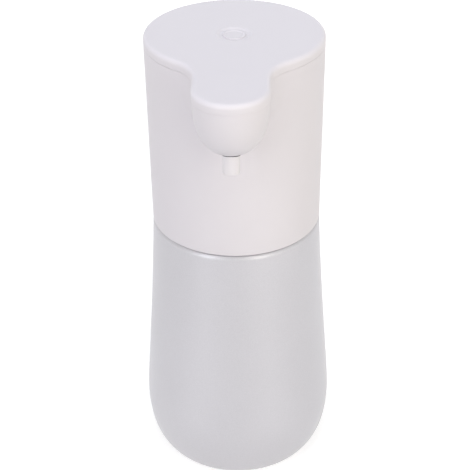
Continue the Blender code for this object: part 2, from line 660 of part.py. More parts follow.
def chassis(parent):
    """The inner frame: threaded socket below, pump, battery and board posts above."""
    radius = HOUSING_BORE - SEAT_GAP
    skirt_base = SHOULDER_TOP + SKIRT_CLEARANCE
    profile = [(0, CHASSIS_UNDERSIDE), (SKIRT_RADIUS, CHASSIS_UNDERSIDE), (SKIRT_RADIUS, skirt_base)]
    profile += [(SKIRT_RADIUS + SKIRT_WALL, skirt_base), (SKIRT_RADIUS + SKIRT_WALL, CHASSIS_UNDERSIDE)]
    profile += [(radius, CHASSIS_UNDERSIDE), (radius, CHASSIS_TOP), (0, CHASSIS_TOP)]
    bm = bmesh.new()
    turned(bm, profile, ROUND_SEGMENTS)
    piece = solid("chassis", bm, GREY_PLASTIC, parent)

    bm = bmesh.new()
    drop = (THREAD_ROOT_WIDTH + THREAD_CREST_WIDTH) / 2 + THREAD_PLAY
    crest = SKIRT_RADIUS - THREAD_DEPTH
    thread_ridge(bm, SKIRT_RADIUS, crest, SHOULDER_TOP + THREAD_START - drop)
    join(piece, "thread", bm)

    bm = bmesh.new()
    low = CHASSIS_TOP - EMBED
    for angle in HOUSING_SCREW_ANGLES:
        spot = polar(HOUSING_SCREW_CIRCLE, angle)
        rod(bm, HOUSING_BOSS_RADIUS, low, CHASSIS_TOP + HOUSING_BOSS_HEIGHT, spot)
    for spot in pump_screw_spots():
        rod(bm, PUMP_BOSS_RADIUS, low, CHASSIS_TOP + PUMP_BOSS_HEIGHT, spot)
    for side in (-1, 1):
        spot = (side * CHARGE_SCREW_OFFSET, CHARGE_REAR_Y - CHARGE_BOARD_DEPTH / 2)
        rod(bm, CHARGE_POST_RADIUS, low, CHARGE_BOARD_BASE - SEAT_GAP, spot)
    tube(bm, CUP_RADIUS - CUP_WALL, CUP_RADIUS, low, CHASSIS_TOP + CUP_HEIGHT, (CELL_X, CELL_Y),
         MIDDLE_SEGMENTS)
    join(piece, "posts", bm, crossing=True)

    bm = bmesh.new()
    top = CHASSIS_TOP + HOUSING_BOSS_HEIGHT
    hole = SCREW_RADIUS + SEAT_GAP
    depth = SCREW_LENGTH + SCREW_TIP_ROOM
    for angle in HOUSING_SCREW_ANGLES:
        rod(bm, hole, top - depth, top + OVERRUN, polar(HOUSING_SCREW_CIRCLE, angle), SCREW_SEGMENTS)
    top = CHASSIS_TOP + PUMP_BOSS_HEIGHT
    for spot in pump_screw_spots():
        rod(bm, hole, top - depth, top + OVERRUN, spot, SCREW_SEGMENTS)
    top = CHARGE_BOARD_BASE - SEAT_GAP
    hole = SMALL_SCREW_RADIUS + SEAT_GAP
    depth = SMALL_SCREW_LENGTH + SCREW_TIP_ROOM
    for side in (-1, 1):
        spot = (side * CHARGE_SCREW_OFFSET, CHARGE_REAR_Y - CHARGE_BOARD_DEPTH / 2)
        rod(bm, hole, top - depth, top + OVERRUN, spot, SCREW_SEGMENTS)
    hole = INLET_SPIGOT_RADIUS + SEAT_GAP
    rod(bm, hole, CHASSIS_UNDERSIDE - OVERRUN, CHASSIS_TOP + OVERRUN, (PORT_X, INLET_Y))
    cut(piece, "holes", bm)


def plan_outline(head_radius, half_width, fillet):
    """The head seen from above: a round body, filleted into a spout with a round nose."""
    side_x = half_width + fillet
    side_y = -sqrt((head_radius + fillet) ** 2 - side_x ** 2)
    turn = atan2(side_y, side_x)
    points = arc((0, 0), head_radius, turn, pi - turn, BACK_STEPS)
    points += arc((-side_x, side_y), fillet, -turn, 0, FILLET_STEPS)[1:]
    points += arc((0, -NOSE_Y), half_width, pi, 2 * pi, NOSE_STEPS)
    points += arc((side_x, side_y), fillet, pi, pi + turn, FILLET_STEPS)[:-1]
    return points


def round_outline(head_radius, half_width, fillet):
    """The round body alone, with as many points as plan_outline and the same back."""
    side_x = half_width + fillet
    turn = atan2(-sqrt((head_radius + fillet) ** 2 - side_x ** 2), side_x)
    points = arc((0, 0), head_radius, turn, pi - turn, BACK_STEPS)
    rest = len(plan_outline(head_radius, half_width, fillet)) - len(points)
    return points + arc((0, 0), head_radius, pi - turn, 2 * pi + turn, rest + 1)[1:-1]


def spout_rings(inset, steps, straight=0):
    """The head's outline at each level up to the top, drawn in by inset, with a straight upper stretch."""
    radius = HEAD_RADIUS - inset
    widest = SPOUT_HALF_WIDTH - SPOUT_INSET - inset
    dome_top = HOUSING_TOP - straight
    depth = dome_top - SPOUT_BOTTOM - inset
    flat = SPOUT_FLAT - inset / 2
    lowest = acos((flat / widest) ** (SPOUT_POWER / 2))
    levels = []
    for i in range(steps + 1):
        angle = lowest * (1 - i / steps)
        width = widest * cos(angle) ** (2 / SPOUT_POWER)
        height = dome_top - depth * (sin(angle) / sin(lowest)) ** (2 / SPOUT_POWER)
        share = (width - flat) / (widest - flat)
        fillet = DOME_FILLET + (SHOULDER_FILLET - DOME_FILLET) * share + inset
        levels.append((width, height, fillet))
    first = levels[0]
    rings = [[(x, y, HOUSING_BASE) for x, y in round_outline(radius, first[0], first[2])]]
    root = first[1] - SPOUT_ROOT_DROP
    rings.append([(x, y, root) for x, y in round_outline(radius, first[0], first[2])])
    if straight:
        levels.append((widest, HOUSING_TOP, levels[-1][2]))
    for width, height, fillet in levels:
        rings.append([(x, y, height) for x, y in plan_outline(radius, width, fillet)])
    return rings


def housing(parent):
    """The white shell: the round body and the spout's domed underside in one moulding."""
    outer = spout_rings(0, DOME_STEPS)
    inner = spout_rings(HOUSING_WALL, INNER_DOME_STEPS, LIP_DEPTH + SEAT_GAP)
    bm = bmesh.new()
    skin(bm, outer + inner[::-1], loop=True)
    piece = solid("housing", bm, WHITE_PLASTIC, parent)

    bm = bmesh.new()
    turn = Matrix.Translation((0, 0, SOCKET_MIDDLE)) @ Matrix.Rotation(-pi / 2, 4, "X")
    port = rounded_slot(PORT_WIDTH / 2, PORT_HEIGHT / 2, PORT_CORNER_STEPS)
    skin(bm, [[turn @ Vector((x, y, z)) for x, y in port]
              for z in (HOUSING_BORE - OVERRUN, HEAD_RADIUS + OVERRUN)])
    cut(piece, "port", bm)
    bm = bmesh.new()
    seat = rounded_slot(PORT_WIDTH / 2 + PLUG_RIM, PORT_HEIGHT / 2 + PLUG_RIM, PORT_CORNER_STEPS)
    skin(bm, [[turn @ Vector((x, y, z)) for x, y in seat]
              for z in (HEAD_RADIUS - PLUG_RIM_DEPTH, HEAD_RADIUS + OVERRUN)])
    cut(piece, "port_seat", bm)

    bm = bmesh.new()
    low = CHASSIS_TOP + HOUSING_BOSS_HEIGHT + SEAT_GAP
    for angle in HOUSING_SCREW_ANGLES:
        spot = polar(HOUSING_SCREW_CIRCLE, angle)
        rod(bm, HOUSING_BOSS_RADIUS, low, low + LUG_THICKNESS, spot)
        half = HOUSING_BOSS_RADIUS * cos(pi / 4)
        outline = web(HOUSING_SCREW_CIRCLE, HOUSING_BORE + EMBED, half, angle)
        prism(bm, outline, low, low + LUG_THICKNESS)
    for side in (-1, 1):
        spot = (side * SENSOR_SCREW_OFFSET, WINDOW_Y)
        rod(bm, SENSOR_POST_RADIUS, SPOUT_FLOOR + EMBED, SENSOR_BOARD_BASE - SEAT_GAP, spot, SCREW_SEGMENTS)
    join(piece, "lugs", bm, crossing=True)

    bm = bmesh.new()
    hole = SCREW_RADIUS + SEAT_GAP
    for angle in HOUSING_SCREW_ANGLES:
        spot = polar(HOUSING_SCREW_CIRCLE, angle)
        rod(bm, hole, low - OVERRUN, low + LUG_THICKNESS + OVERRUN, spot, SCREW_SEGMENTS)
    top = SENSOR_BOARD_BASE - SEAT_GAP
    depth = SMALL_SCREW_LENGTH + SCREW_TIP_ROOM - SENSOR_BOARD_THICKNESS - SEAT_GAP
    for side in (-1, 1):
        spot = (side * SENSOR_SCREW_OFFSET, WINDOW_Y)
        rod(bm, SMALL_SCREW_RADIUS + SEAT_GAP, top - depth, top + OVERRUN, spot, SCREW_SEGMENTS)
    low = SPOUT_BOTTOM - OVERRUN
    high = SPOUT_FLOOR + OVERRUN
    rod(bm, NOZZLE_RADIUS + SEAT_GAP, low, high, (0, -NOSE_Y))
    rod(bm, WINDOW_RADIUS + SEAT_GAP, low, high, (0, WINDOW_Y))
    cut(piece, "holes", bm)
    bm = bmesh.new()
    high = SPOUT_FLOOR + NOZZLE_FLANGE + OVERRUN
    rod(bm, NOZZLE_FLANGE_RADIUS + SEAT_GAP, SPOUT_FLOOR, high, (0, -NOSE_Y))
    rod(bm, WINDOW_FLANGE_RADIUS + SEAT_GAP, SPOUT_FLOOR, high, (0, WINDOW_Y))
    cut(piece, "flange_seats", bm)


def housing_screws(parent):
    """The three screws that hold the housing's lugs down on the chassis."""
    seat = CHASSIS_TOP + HOUSING_BOSS_HEIGHT + LUG_THICKNESS + 2 * SEAT_GAP
    for i, angle in enumerate(HOUSING_SCREW_ANGLES, 1):
        x, y = polar(HOUSING_SCREW_CIRCLE, angle)
        screw(f"housing_screw_{i}", SCREW_HEAD_RADIUS, SCREW_HEAD_HEIGHT, SCREW_RADIUS,
              SCREW_LENGTH + LUG_THICKNESS, STEEL, parent, (x, y, seat))


def top_cover(parent):
    """The top lid with its rounded edge, locating lip, button dish and board bosses."""
    lip = HOUSING_WALL + SPOUT_INSET + SEAT_GAP
    steps = [(lip + LIP_WALL, PLATE_UNDERSIDE), (lip + LIP_WALL, COVER_BASE - LIP_DEPTH)]
    steps += [(lip, COVER_BASE - LIP_DEPTH), (lip, COVER_BASE), (0, COVER_BASE)]
    for inset, height in arc((COVER_ROUND, TOTAL_HEIGHT - COVER_ROUND), COVER_ROUND, pi, pi / 2,
                             COVER_ROUND_STEPS):
        steps.append((inset, height))
    rings = []
    for inset, height in steps:
        outline = plan_outline(HEAD_RADIUS - inset, SPOUT_HALF_WIDTH - inset, SHOULDER_FILLET + inset)
        rings.append([(x, y, height) for x, y in outline])
    bm = bmesh.new()
    skin(bm, rings)
    piece = solid("top_cover", bm, WHITE_COVER, parent)

    bm = bmesh.new()
    spot = (0, -BUTTON_BACKSET)
    guide = BUTTON_FLANGE_RADIUS + SEAT_GAP
    tube(bm, guide, guide + GUIDE_WALL, PLATE_UNDERSIDE - GUIDE_DEPTH, PLATE_UNDERSIDE + EMBED, spot,
         MIDDLE_SEGMENTS)
    for angle in BOARD_SCREW_ANGLES:
        rod(bm, BOARD_BOSS_RADIUS, PLATE_UNDERSIDE - BOARD_DROP, PLATE_UNDERSIDE + EMBED,
            polar(BOARD_SCREW_CIRCLE, angle))
    join(piece, "bosses", bm)

    bm = bmesh.new()
    edge = BUTTON_RADIUS + DISH_MARGIN
    place = Matrix.Translation((*spot, 0))
    profile = [(0, TOTAL_HEIGHT - DISH_DEPTH), (edge - DISH_WALL, TOTAL_HEIGHT - DISH_DEPTH)]
    profile += [(edge, TOTAL_HEIGHT), (edge, TOTAL_HEIGHT + OVERRUN), (0, TOTAL_HEIGHT + OVERRUN)]
    turned(bm, profile, MIDDLE_SEGMENTS, place=place)
    cut(piece, "dish", bm)
    bm = bmesh.new()
    rod(bm, BUTTON_RADIUS + SEAT_GAP, PLATE_UNDERSIDE - OVERRUN, TOTAL_HEIGHT + OVERRUN, spot,
        MIDDLE_SEGMENTS)
    low = PLATE_UNDERSIDE - BOARD_DROP
    depth = SMALL_SCREW_LENGTH + SCREW_TIP_ROOM
    for angle in BOARD_SCREW_ANGLES:
        rod(bm, SMALL_SCREW_RADIUS + SEAT_GAP, low - OVERRUN, low + depth,
            polar(BOARD_SCREW_CIRCLE, angle), SCREW_SEGMENTS)
    cut(piece, "holes", bm)


def button_stem_base():
    """The height of the button stem's lower end."""
    return PLATE_UNDERSIDE - SEAT_GAP - BUTTON_FLANGE - BUTTON_STEM


def power_button(parent):
    """The round button: cap, retaining flange and stem."""
    flange_top = PLATE_UNDERSIDE - SEAT_GAP
    flange_base = flange_top - BUTTON_FLANGE
    stem_base = button_stem_base()
    top = TOTAL_HEIGHT - BUTTON_SUNK
    profile = [(0, stem_base), (BUTTON_STEM_RADIUS, stem_base), (BUTTON_STEM_RADIUS, flange_base)]
    profile += [(BUTTON_FLANGE_RADIUS, flange_base), (BUTTON_FLANGE_RADIUS, flange_top)]
    profile += [(BUTTON_RADIUS, flange_top)]
    centre = (BUTTON_RADIUS - BUTTON_ROUND, top - BUTTON_ROUND)
    profile += arc(centre, BUTTON_ROUND, 0, pi / 2, ROUND_STEPS) + [(0, top)]
    bm = bmesh.new()
    turned(bm, [(radius, height - flange_top) for radius, height in profile], MIDDLE_SEGMENTS)
    solid("power_button", bm, WHITE_COVER, parent, (0, -BUTTON_BACKSET, flange_top))


def tact_switch(parent):
    """The push switch on the board and its plunger, which moves with the button."""
    low = BOARD_TOP + SEAT_GAP
    high = low + SWITCH_HEIGHT
    half = SWITCH_SIZE / 2
    bm = bmesh.new()
    block(bm, (-half, -half, 0), (half, half, SWITCH_HEIGHT))
    piece = solid("tact_switch", bm, GREY_PLASTIC, parent, (0, -BUTTON_BACKSET, low))
    bm = bmesh.new()
    pocket = SWITCH_HEIGHT - PLUNGER_SUNK - PRESS_ROOM
    rod(bm, PLUNGER_RADIUS + SEAT_GAP, pocket, SWITCH_HEIGHT + OVERRUN)
    cut(piece, "pocket", bm)

    bm = bmesh.new()
    rod(bm, PLUNGER_RADIUS, -PLUNGER_SUNK, button_stem_base() - SEAT_GAP - high)
    solid("switch_plunger", bm, BLACK_RUBBER, parent, (0, -BUTTON_BACKSET, high))


def main_board(parent):
    """The round control board with its chips, hung from the lid's bosses."""
    bm = bmesh.new()
    rod(bm, BOARD_RADIUS, BOARD_UNDERSIDE, BOARD_TOP, segments=ROUND_SEGMENTS)
    piece = solid("main_board", bm, BOARD_GREEN, parent)
    bm = bmesh.new()
    half = CHIP_SIZE / 2
    for side in (-1, 1):
        x = side * CHIP_OFFSET
        block(bm, (x - half, -half, BOARD_TOP - EMBED), (x + half, half, BOARD_TOP + CHIP_HEIGHT))
    join(piece, "chips", bm)
    bm = bmesh.new()
    for angle in BOARD_SCREW_ANGLES:
        rod(bm, SMALL_SCREW_RADIUS + SEAT_GAP, BOARD_UNDERSIDE - OVERRUN, BOARD_TOP + OVERRUN,
            polar(BOARD_SCREW_CIRCLE, angle), SCREW_SEGMENTS)
    cut(piece, "holes", bm)
    for i, angle in enumerate(BOARD_SCREW_ANGLES, 1):
        x, y = polar(BOARD_SCREW_CIRCLE, angle)
        screw(f"board_screw_{i}", SMALL_HEAD_RADIUS, SMALL_HEAD_HEIGHT, SMALL_SCREW_RADIUS,
              SMALL_SCREW_LENGTH + BOARD_THICKNESS, STEEL, parent, (x, y, BOARD_UNDERSIDE - SEAT_GAP),
              upward=True)


def pump_slab(name, low, high, look, parent):
    """A plate of the pump: the stadium round both gears, with three screw ears."""
    drive = (DRIVE_X, DRIVE_Y)
    idler = (IDLER_X, DRIVE_Y)
    bm = bmesh.new()
    prism(bm, stadium(drive, idler, PUMP_END_RADIUS, PUMP_END_STEPS), low, high)
    piece = solid(name, bm, look, parent)
    bm = bmesh.new()
    for spot in pump_screw_spots():
        rod(bm, PUMP_EAR_RADIUS, low, high, spot)
    reach = MOTOR_RADIUS + SCREW_HEAD_RADIUS + DRIVER_CLEARANCE
    outline = web(POCKET_RADIUS, reach, PUMP_EAR_RADIUS * cos(pi / 4), DRIVE_EAR_TURN)
    prism(bm, [(DRIVE_X + x, DRIVE_Y + y) for x, y in outline], low, high)
    join(piece, "ears", bm, crossing=True)
    bm = bmesh.new()
    for spot in pump_screw_spots():
        rod(bm, SCREW_RADIUS + SEAT_GAP, low - OVERRUN, high + OVERRUN, spot, SCREW_SEGMENTS)
    cut(piece, "screw_holes", bm)
    return piece


def chamber_outline(spare=0):
    """The outline round both gears, with a port pocket where they meet on each side."""
    gear = POCKET_RADIUS + spare
    pocket = PORT_POCKET_RADIUS + spare
    half = GEAR_CENTRES / 2
    reach = hypot(half, PORT_OFFSET)
    meet = atan2(PORT_OFFSET, half) + acos((reach ** 2 + gear ** 2 - pocket ** 2) / (2 * reach * gear))
    x, y = polar(gear, meet)
    edge = atan2(y - PORT_OFFSET, x - half)
    outline = arc((IDLER_X, DRIVE_Y), gear, meet - pi, pi - meet, MIDDLE_SEGMENTS)[:-1]
    outline += arc((PORT_X, INLET_Y), pocket, pi - edge, edge, FILLET_STEPS)[:-1]
    outline += arc((DRIVE_X, DRIVE_Y), gear, meet, 2 * pi - meet, MIDDLE_SEGMENTS)[:-1]
    return outline + arc((PORT_X, OUTLET_Y), pocket, -edge, edge - pi, FILLET_STEPS)[:-1]


def pump_body(parent):
    """The pump's cup: gear chamber, shaft seats, inlet spigot below and outlet spigot in front."""
    piece = pump_slab("pump_body", PUMP_BASE, PUMP_TOP, NYLON, parent)
    outward = Matrix.Translation((PORT_X, 0, OUTLET_Z)) @ Matrix.Rotation(pi / 2, 4, "X")
    reach = -PUMP_FRONT_Y + OUTLET_SPIGOT_LENGTH
    bm = bmesh.new()
    rod(bm, INLET_SPIGOT_RADIUS, SPIGOT_END, PUMP_BASE + EMBED, (PORT_X, INLET_Y))
    near = -PUMP_FRONT_Y - EMBED
    profile = [(0, near), (OUTLET_SPIGOT_RADIUS, near), (OUTLET_SPIGOT_RADIUS, reach), (0, reach)]
    turned(bm, profile, place=outward)
    join(piece, "spigots", bm)
    bm = bmesh.new()
    prism(bm, chamber_outline(), POCKET_FLOOR, PUMP_TOP + OVERRUN)
    cut(piece, "chamber", bm)
    bm = bmesh.new()
    low = POCKET_FLOOR - PIN_SEAT
    rod(bm, SHAFT_RADIUS + SEAT_GAP, low, POCKET_FLOOR + EMBED, (DRIVE_X, DRIVE_Y))
    rod(bm, IDLER_PIN_RADIUS + SEAT_GAP, low, POCKET_FLOOR + EMBED, (IDLER_X, DRIVE_Y))
    cut(piece, "shaft_seats", bm)
    bm = bmesh.new()
    rod(bm, PORT_BORE_RADIUS, SPIGOT_END - OVERRUN, POCKET_FLOOR + EMBED, (PORT_X, INLET_Y), SCREW_SEGMENTS)
    profile = [(0, -OUTLET_Y), (PORT_BORE_RADIUS, -OUTLET_Y)]
    profile += [(PORT_BORE_RADIUS, reach + OVERRUN), (0, reach + OVERRUN)]
    turned(bm, profile, SCREW_SEGMENTS, place=outward)
    cut(piece, "ports", bm)


def pump_gasket(parent):
    """The sheet that seals the pump's cover, cut out over the gear chamber."""
    low = PUMP_GASKET_BASE
    high = low + PUMP_GASKET
    outline = stadium((DRIVE_X, DRIVE_Y), (IDLER_X, DRIVE_Y), PUMP_END_RADIUS - SEAT_GAP, PUMP_END_STEPS)
    bm = bmesh.new()
    prism(bm, outline, low, high)
    piece = solid("pump_gasket", bm, BLACK_RUBBER, parent)
    bm = bmesh.new()
    prism(bm, chamber_outline(SEAT_GAP), low - OVERRUN, high + OVERRUN)
    cut(piece, "opening", bm)


def motor_screw_spots():
    """Where the two motor screws stand."""
    return [(DRIVE_X, DRIVE_Y + side * MOTOR_SCREW_OFFSET) for side in (-1, 1)]


def pump_cover(parent):
    """The plate over the gears, which also carries the motor and holds the shaft seal."""
    piece = pump_slab("pump_cover", PUMP_COVER_BASE, PUMP_COVER_TOP, NYLON, parent)
    bm = bmesh.new()
    spot = (DRIVE_X, DRIVE_Y)
    rod(bm, SEAL_RADIUS + SEAT_GAP, PUMP_COVER_BASE - OVERRUN, PUMP_COVER_BASE + SEAL_RECESS, spot)
    cut(piece, "seal_recess", bm)
    bm = bmesh.new()
    boss_floor = PUMP_COVER_TOP - MOTOR_BOSS_HEIGHT
    rod(bm, MOTOR_BOSS_RADIUS + SEAT_GAP, boss_floor, PUMP_COVER_TOP + OVERRUN, spot)
    cut(piece, "boss_recess", bm)
    bm = bmesh.new()
    low = PUMP_COVER_BASE - OVERRUN
    high = PUMP_COVER_TOP + OVERRUN
    rod(bm, SHAFT_RADIUS + SEAT_GAP, low, high, spot, SCREW_SEGMENTS)
    for screw_spot in motor_screw_spots():
        rod(bm, SCREW_RADIUS + SEAT_GAP, low, high, screw_spot, SCREW_SEGMENTS)
    rod(bm, IDLER_PIN_RADIUS + SEAT_GAP, low, PUMP_COVER_BASE + PIN_SEAT, (IDLER_X, DRIVE_Y))
    cut(piece, "shaft_holes", bm)
    bm = bmesh.new()
    recess = SCREW_HEAD_HEIGHT + 2 * SEAT_GAP
    for screw_spot in motor_screw_spots():
        rod(bm, SCREW_HEAD_RADIUS + SEAT_GAP, low, PUMP_COVER_BASE + recess, screw_spot)
    cut(piece, "head_recesses", bm)


def shaft_seal(parent):
    """The lip seal round the motor shaft, in the underside of the pump's cover."""
    low = PUMP_COVER_BASE + SEAL_RECESS - SEAT_GAP - SEAL_THICKNESS
    bm = bmesh.new()
    tube(bm, SHAFT_RADIUS + SEAT_GAP, SEAL_RADIUS, 0, SEAL_THICKNESS)
    solid("shaft_seal", bm, BLACK_RUBBER, parent, (DRIVE_X, DRIVE_Y, low))


def inlet_seal(parent):
    """The grommet round the inlet spigot, between the pump and the chassis."""
    bm = bmesh.new()
    tube(bm, INLET_SPIGOT_RADIUS + SEAT_GAP, INLET_SEAL_RADIUS, 0, PUMP_BOSS_HEIGHT - SEAT_GAP)
    solid("inlet_seal", bm, BLACK_RUBBER, parent, (PORT_X, INLET_Y, CHASSIS_TOP + SEAT_GAP))


def pump_screws(parent):
    """The three screws through the pump's ears into the chassis."""
    length = PUMP_COVER_TOP - PUMP_BASE + SCREW_LENGTH
    for i, (x, y) in enumerate(pump_screw_spots(), 1):
        screw(f"pump_screw_{i}", SCREW_HEAD_RADIUS, SCREW_HEAD_HEIGHT, SCREW_RADIUS, length, STEEL,
              parent, (x, y, PUMP_COVER_TOP + SEAT_GAP))


def involute(angle):
    """The involute function of a pressure angle."""
    return tan(angle) - angle


def gear_outline(phase):
    """An involute gear's outline; phase turns it by a share of one tooth."""
    base = GEAR_PITCH_RADIUS * cos(GEAR_PRESSURE)
    half_tooth = pi / (2 * GEAR_TEETH) - GEAR_BACKLASH / (2 * GEAR_PITCH_RADIUS)
    flank = []
    for i in range(FLANK_STEPS):
        radius = base + (GEAR_TIP_RADIUS - base) * i / (FLANK_STEPS - 1)
        half = half_tooth + involute(GEAR_PRESSURE) - involute(acos(min(1, base / radius)))
        flank.append((radius, half))
    flank.insert(0, (GEAR_ROOT_RADIUS, flank[0][1]))
    outline = []
    for tooth in range(GEAR_TEETH):
        middle = 2 * pi * (tooth + phase) / GEAR_TEETH
        outline += [polar(radius, middle - half) for radius, half in flank]
        outline += [polar(radius, middle + half) for radius, half in reversed(flank)]
    return outline


def d_outline(radius, flat):
    """A circle with one flat side facing +X."""
    turn = acos(flat / radius)
    return arc((0, 0), radius, turn, 2 * pi - turn, SCREW_SEGMENTS)


def gears(parent):
    """The meshing pump gears, the pin of the idler, and the motor shaft in the driver."""
    low = POCKET_FLOOR + GEAR_SIDE_GAP / 2
    bm = bmesh.new()
    prism(bm, gear_outline(0), 0, GEAR_WIDTH - GEAR_SIDE_GAP / 2)
    piece = solid("drive_gear", bm, NYLON, parent, (DRIVE_X, DRIVE_Y, low))
    bm = bmesh.new()
    bore = d_outline(SHAFT_RADIUS + SEAT_GAP, SHAFT_FLAT + SEAT_GAP)
    prism(bm, bore, -OVERRUN, GEAR_WIDTH + OVERRUN)
    cut(piece, "bore", bm)

    bm = bmesh.new()
    prism(bm, gear_outline((GEAR_TEETH + 1) / 2), 0, GEAR_WIDTH - GEAR_SIDE_GAP / 2)
    piece = solid("idler_gear", bm, NYLON, parent, (IDLER_X, DRIVE_Y, low))
    bm = bmesh.new()
    rod(bm, IDLER_PIN_RADIUS + IDLER_RUNNING_GAP, -OVERRUN, GEAR_WIDTH + OVERRUN)
    cut(piece, "bore", bm)

    seat = POCKET_FLOOR - PIN_SEAT + SEAT_GAP
    bm = bmesh.new()
    rod(bm, IDLER_PIN_RADIUS, seat, PUMP_COVER_BASE + PIN_SEAT - SEAT_GAP)
    solid("idler_pin", bm, STEEL, parent, (IDLER_X, DRIVE_Y, 0))

    gear_top = POCKET_FLOOR + GEAR_WIDTH
    flatted = d_outline(SHAFT_RADIUS, SHAFT_FLAT)
    bm = bmesh.new()
    prism(bm, flatted, seat, gear_top + 2 * EMBED)
    piece = solid("motor_shaft", bm, STEEL, parent, (DRIVE_X, DRIVE_Y, 0))
    bm = bmesh.new()
    rod(bm, SHAFT_RADIUS, gear_top + EMBED, END_CAP_TOP + EMBED, segments=SCREW_SEGMENTS)
    join(piece, "round_end", bm)


def motor(parent):
    """The small direct-current motor: can, end cap, terminals and mounting screws."""
    bore = SHAFT_RADIUS + SEAT_GAP
    boss = MOTOR_BASE - MOTOR_BOSS_HEIGHT + SEAT_GAP
    profile = [(bore, boss), (MOTOR_BOSS_RADIUS, boss), (MOTOR_BOSS_RADIUS, MOTOR_BASE)]
    low = (MOTOR_RADIUS - MOTOR_ROUND, MOTOR_BASE + MOTOR_ROUND)
    profile += arc(low, MOTOR_ROUND, -pi / 2, 0, ROUND_STEPS)
    profile += [(MOTOR_RADIUS, MOTOR_TOP), (bore, MOTOR_TOP)]
    bm = bmesh.new()
    turned(bm, profile, MIDDLE_SEGMENTS, loop=True)
    piece = solid("motor_can", bm, STEEL, parent, (DRIVE_X, DRIVE_Y, 0))
    bm = bmesh.new()
    for side in (-1, 1):
        rod(bm, SCREW_RADIUS + SEAT_GAP, MOTOR_BASE - SEAT_GAP, MOTOR_BASE + MOTOR_SCREW_GRIP,
            (0, side * MOTOR_SCREW_OFFSET), SCREW_SEGMENTS)
    cut(piece, "screw_holes", bm)

    bm = bmesh.new()
    tube(bm, bore, MOTOR_RADIUS - END_CAP_STEP, END_CAP_BASE, END_CAP_TOP, segments=MIDDLE_SEGMENTS)
    piece = solid("motor_end_cap", bm, GREY_PLASTIC, parent, (DRIVE_X, DRIVE_Y, 0))
    bm = bmesh.new()
    half_width = TERMINAL_WIDTH / 2
    half_thick = TERMINAL_THICKNESS / 2
    for side in (-1, 1):
        y = side * TERMINAL_OFFSET
        block(bm, (-half_width - SEAT_GAP, y - half_thick - SEAT_GAP, END_CAP_BASE - OVERRUN),
              (half_width + SEAT_GAP, y + half_thick + SEAT_GAP, END_CAP_TOP + OVERRUN))
    cut(piece, "slots", bm)

    for label, side in (("front", -1), ("rear", 1)):
        bm = bmesh.new()
        block(bm, (-half_width, -half_thick, 0), (half_width, half_thick, TERMINAL_HEIGHT))
        solid("motor_terminal_" + label, bm, BRASS, parent,
              (DRIVE_X, DRIVE_Y + side * TERMINAL_OFFSET, END_CAP_BASE))
    seat = PUMP_COVER_BASE + SCREW_HEAD_HEIGHT + SEAT_GAP
    length = MOTOR_BASE + MOTOR_SCREW_GRIP - SEAT_GAP - seat
    for i, (x, y) in enumerate(motor_screw_spots(), 1):
        screw(f"motor_screw_{i}", SCREW_HEAD_RADIUS, SCREW_HEAD_HEIGHT, SCREW_RADIUS, length, STEEL,
              parent, (x, y, seat), upward=True)


def battery(parent):
    """The lithium cell in its cup, with a foam pad between it and the board."""
    edge = CELL_RADIUS - CELL_ROUND
    length = CELL_TOP - CELL_BASE
    top = length - CELL_NUB_HEIGHT
    profile = [(0, 0), (edge, 0), (CELL_RADIUS, CELL_ROUND), (CELL_RADIUS, top - CELL_ROUND), (edge, top)]
    profile += [(CELL_NUB_RADIUS, top), (CELL_NUB_RADIUS, length), (0, length)]
    bm = bmesh.new()
    turned(bm, profile, MIDDLE_SEGMENTS)
    solid("battery_cell", bm, CELL_BLUE, parent, (CELL_X, CELL_Y, CELL_BASE))
    bm = bmesh.new()
    rod(bm, CELL_PAD_RADIUS, 0, CELL_PAD_THICKNESS)
    solid("battery_pad", bm, BLACK_RUBBER, parent, (CELL_X, CELL_Y, CELL_TOP + SEAT_GAP))


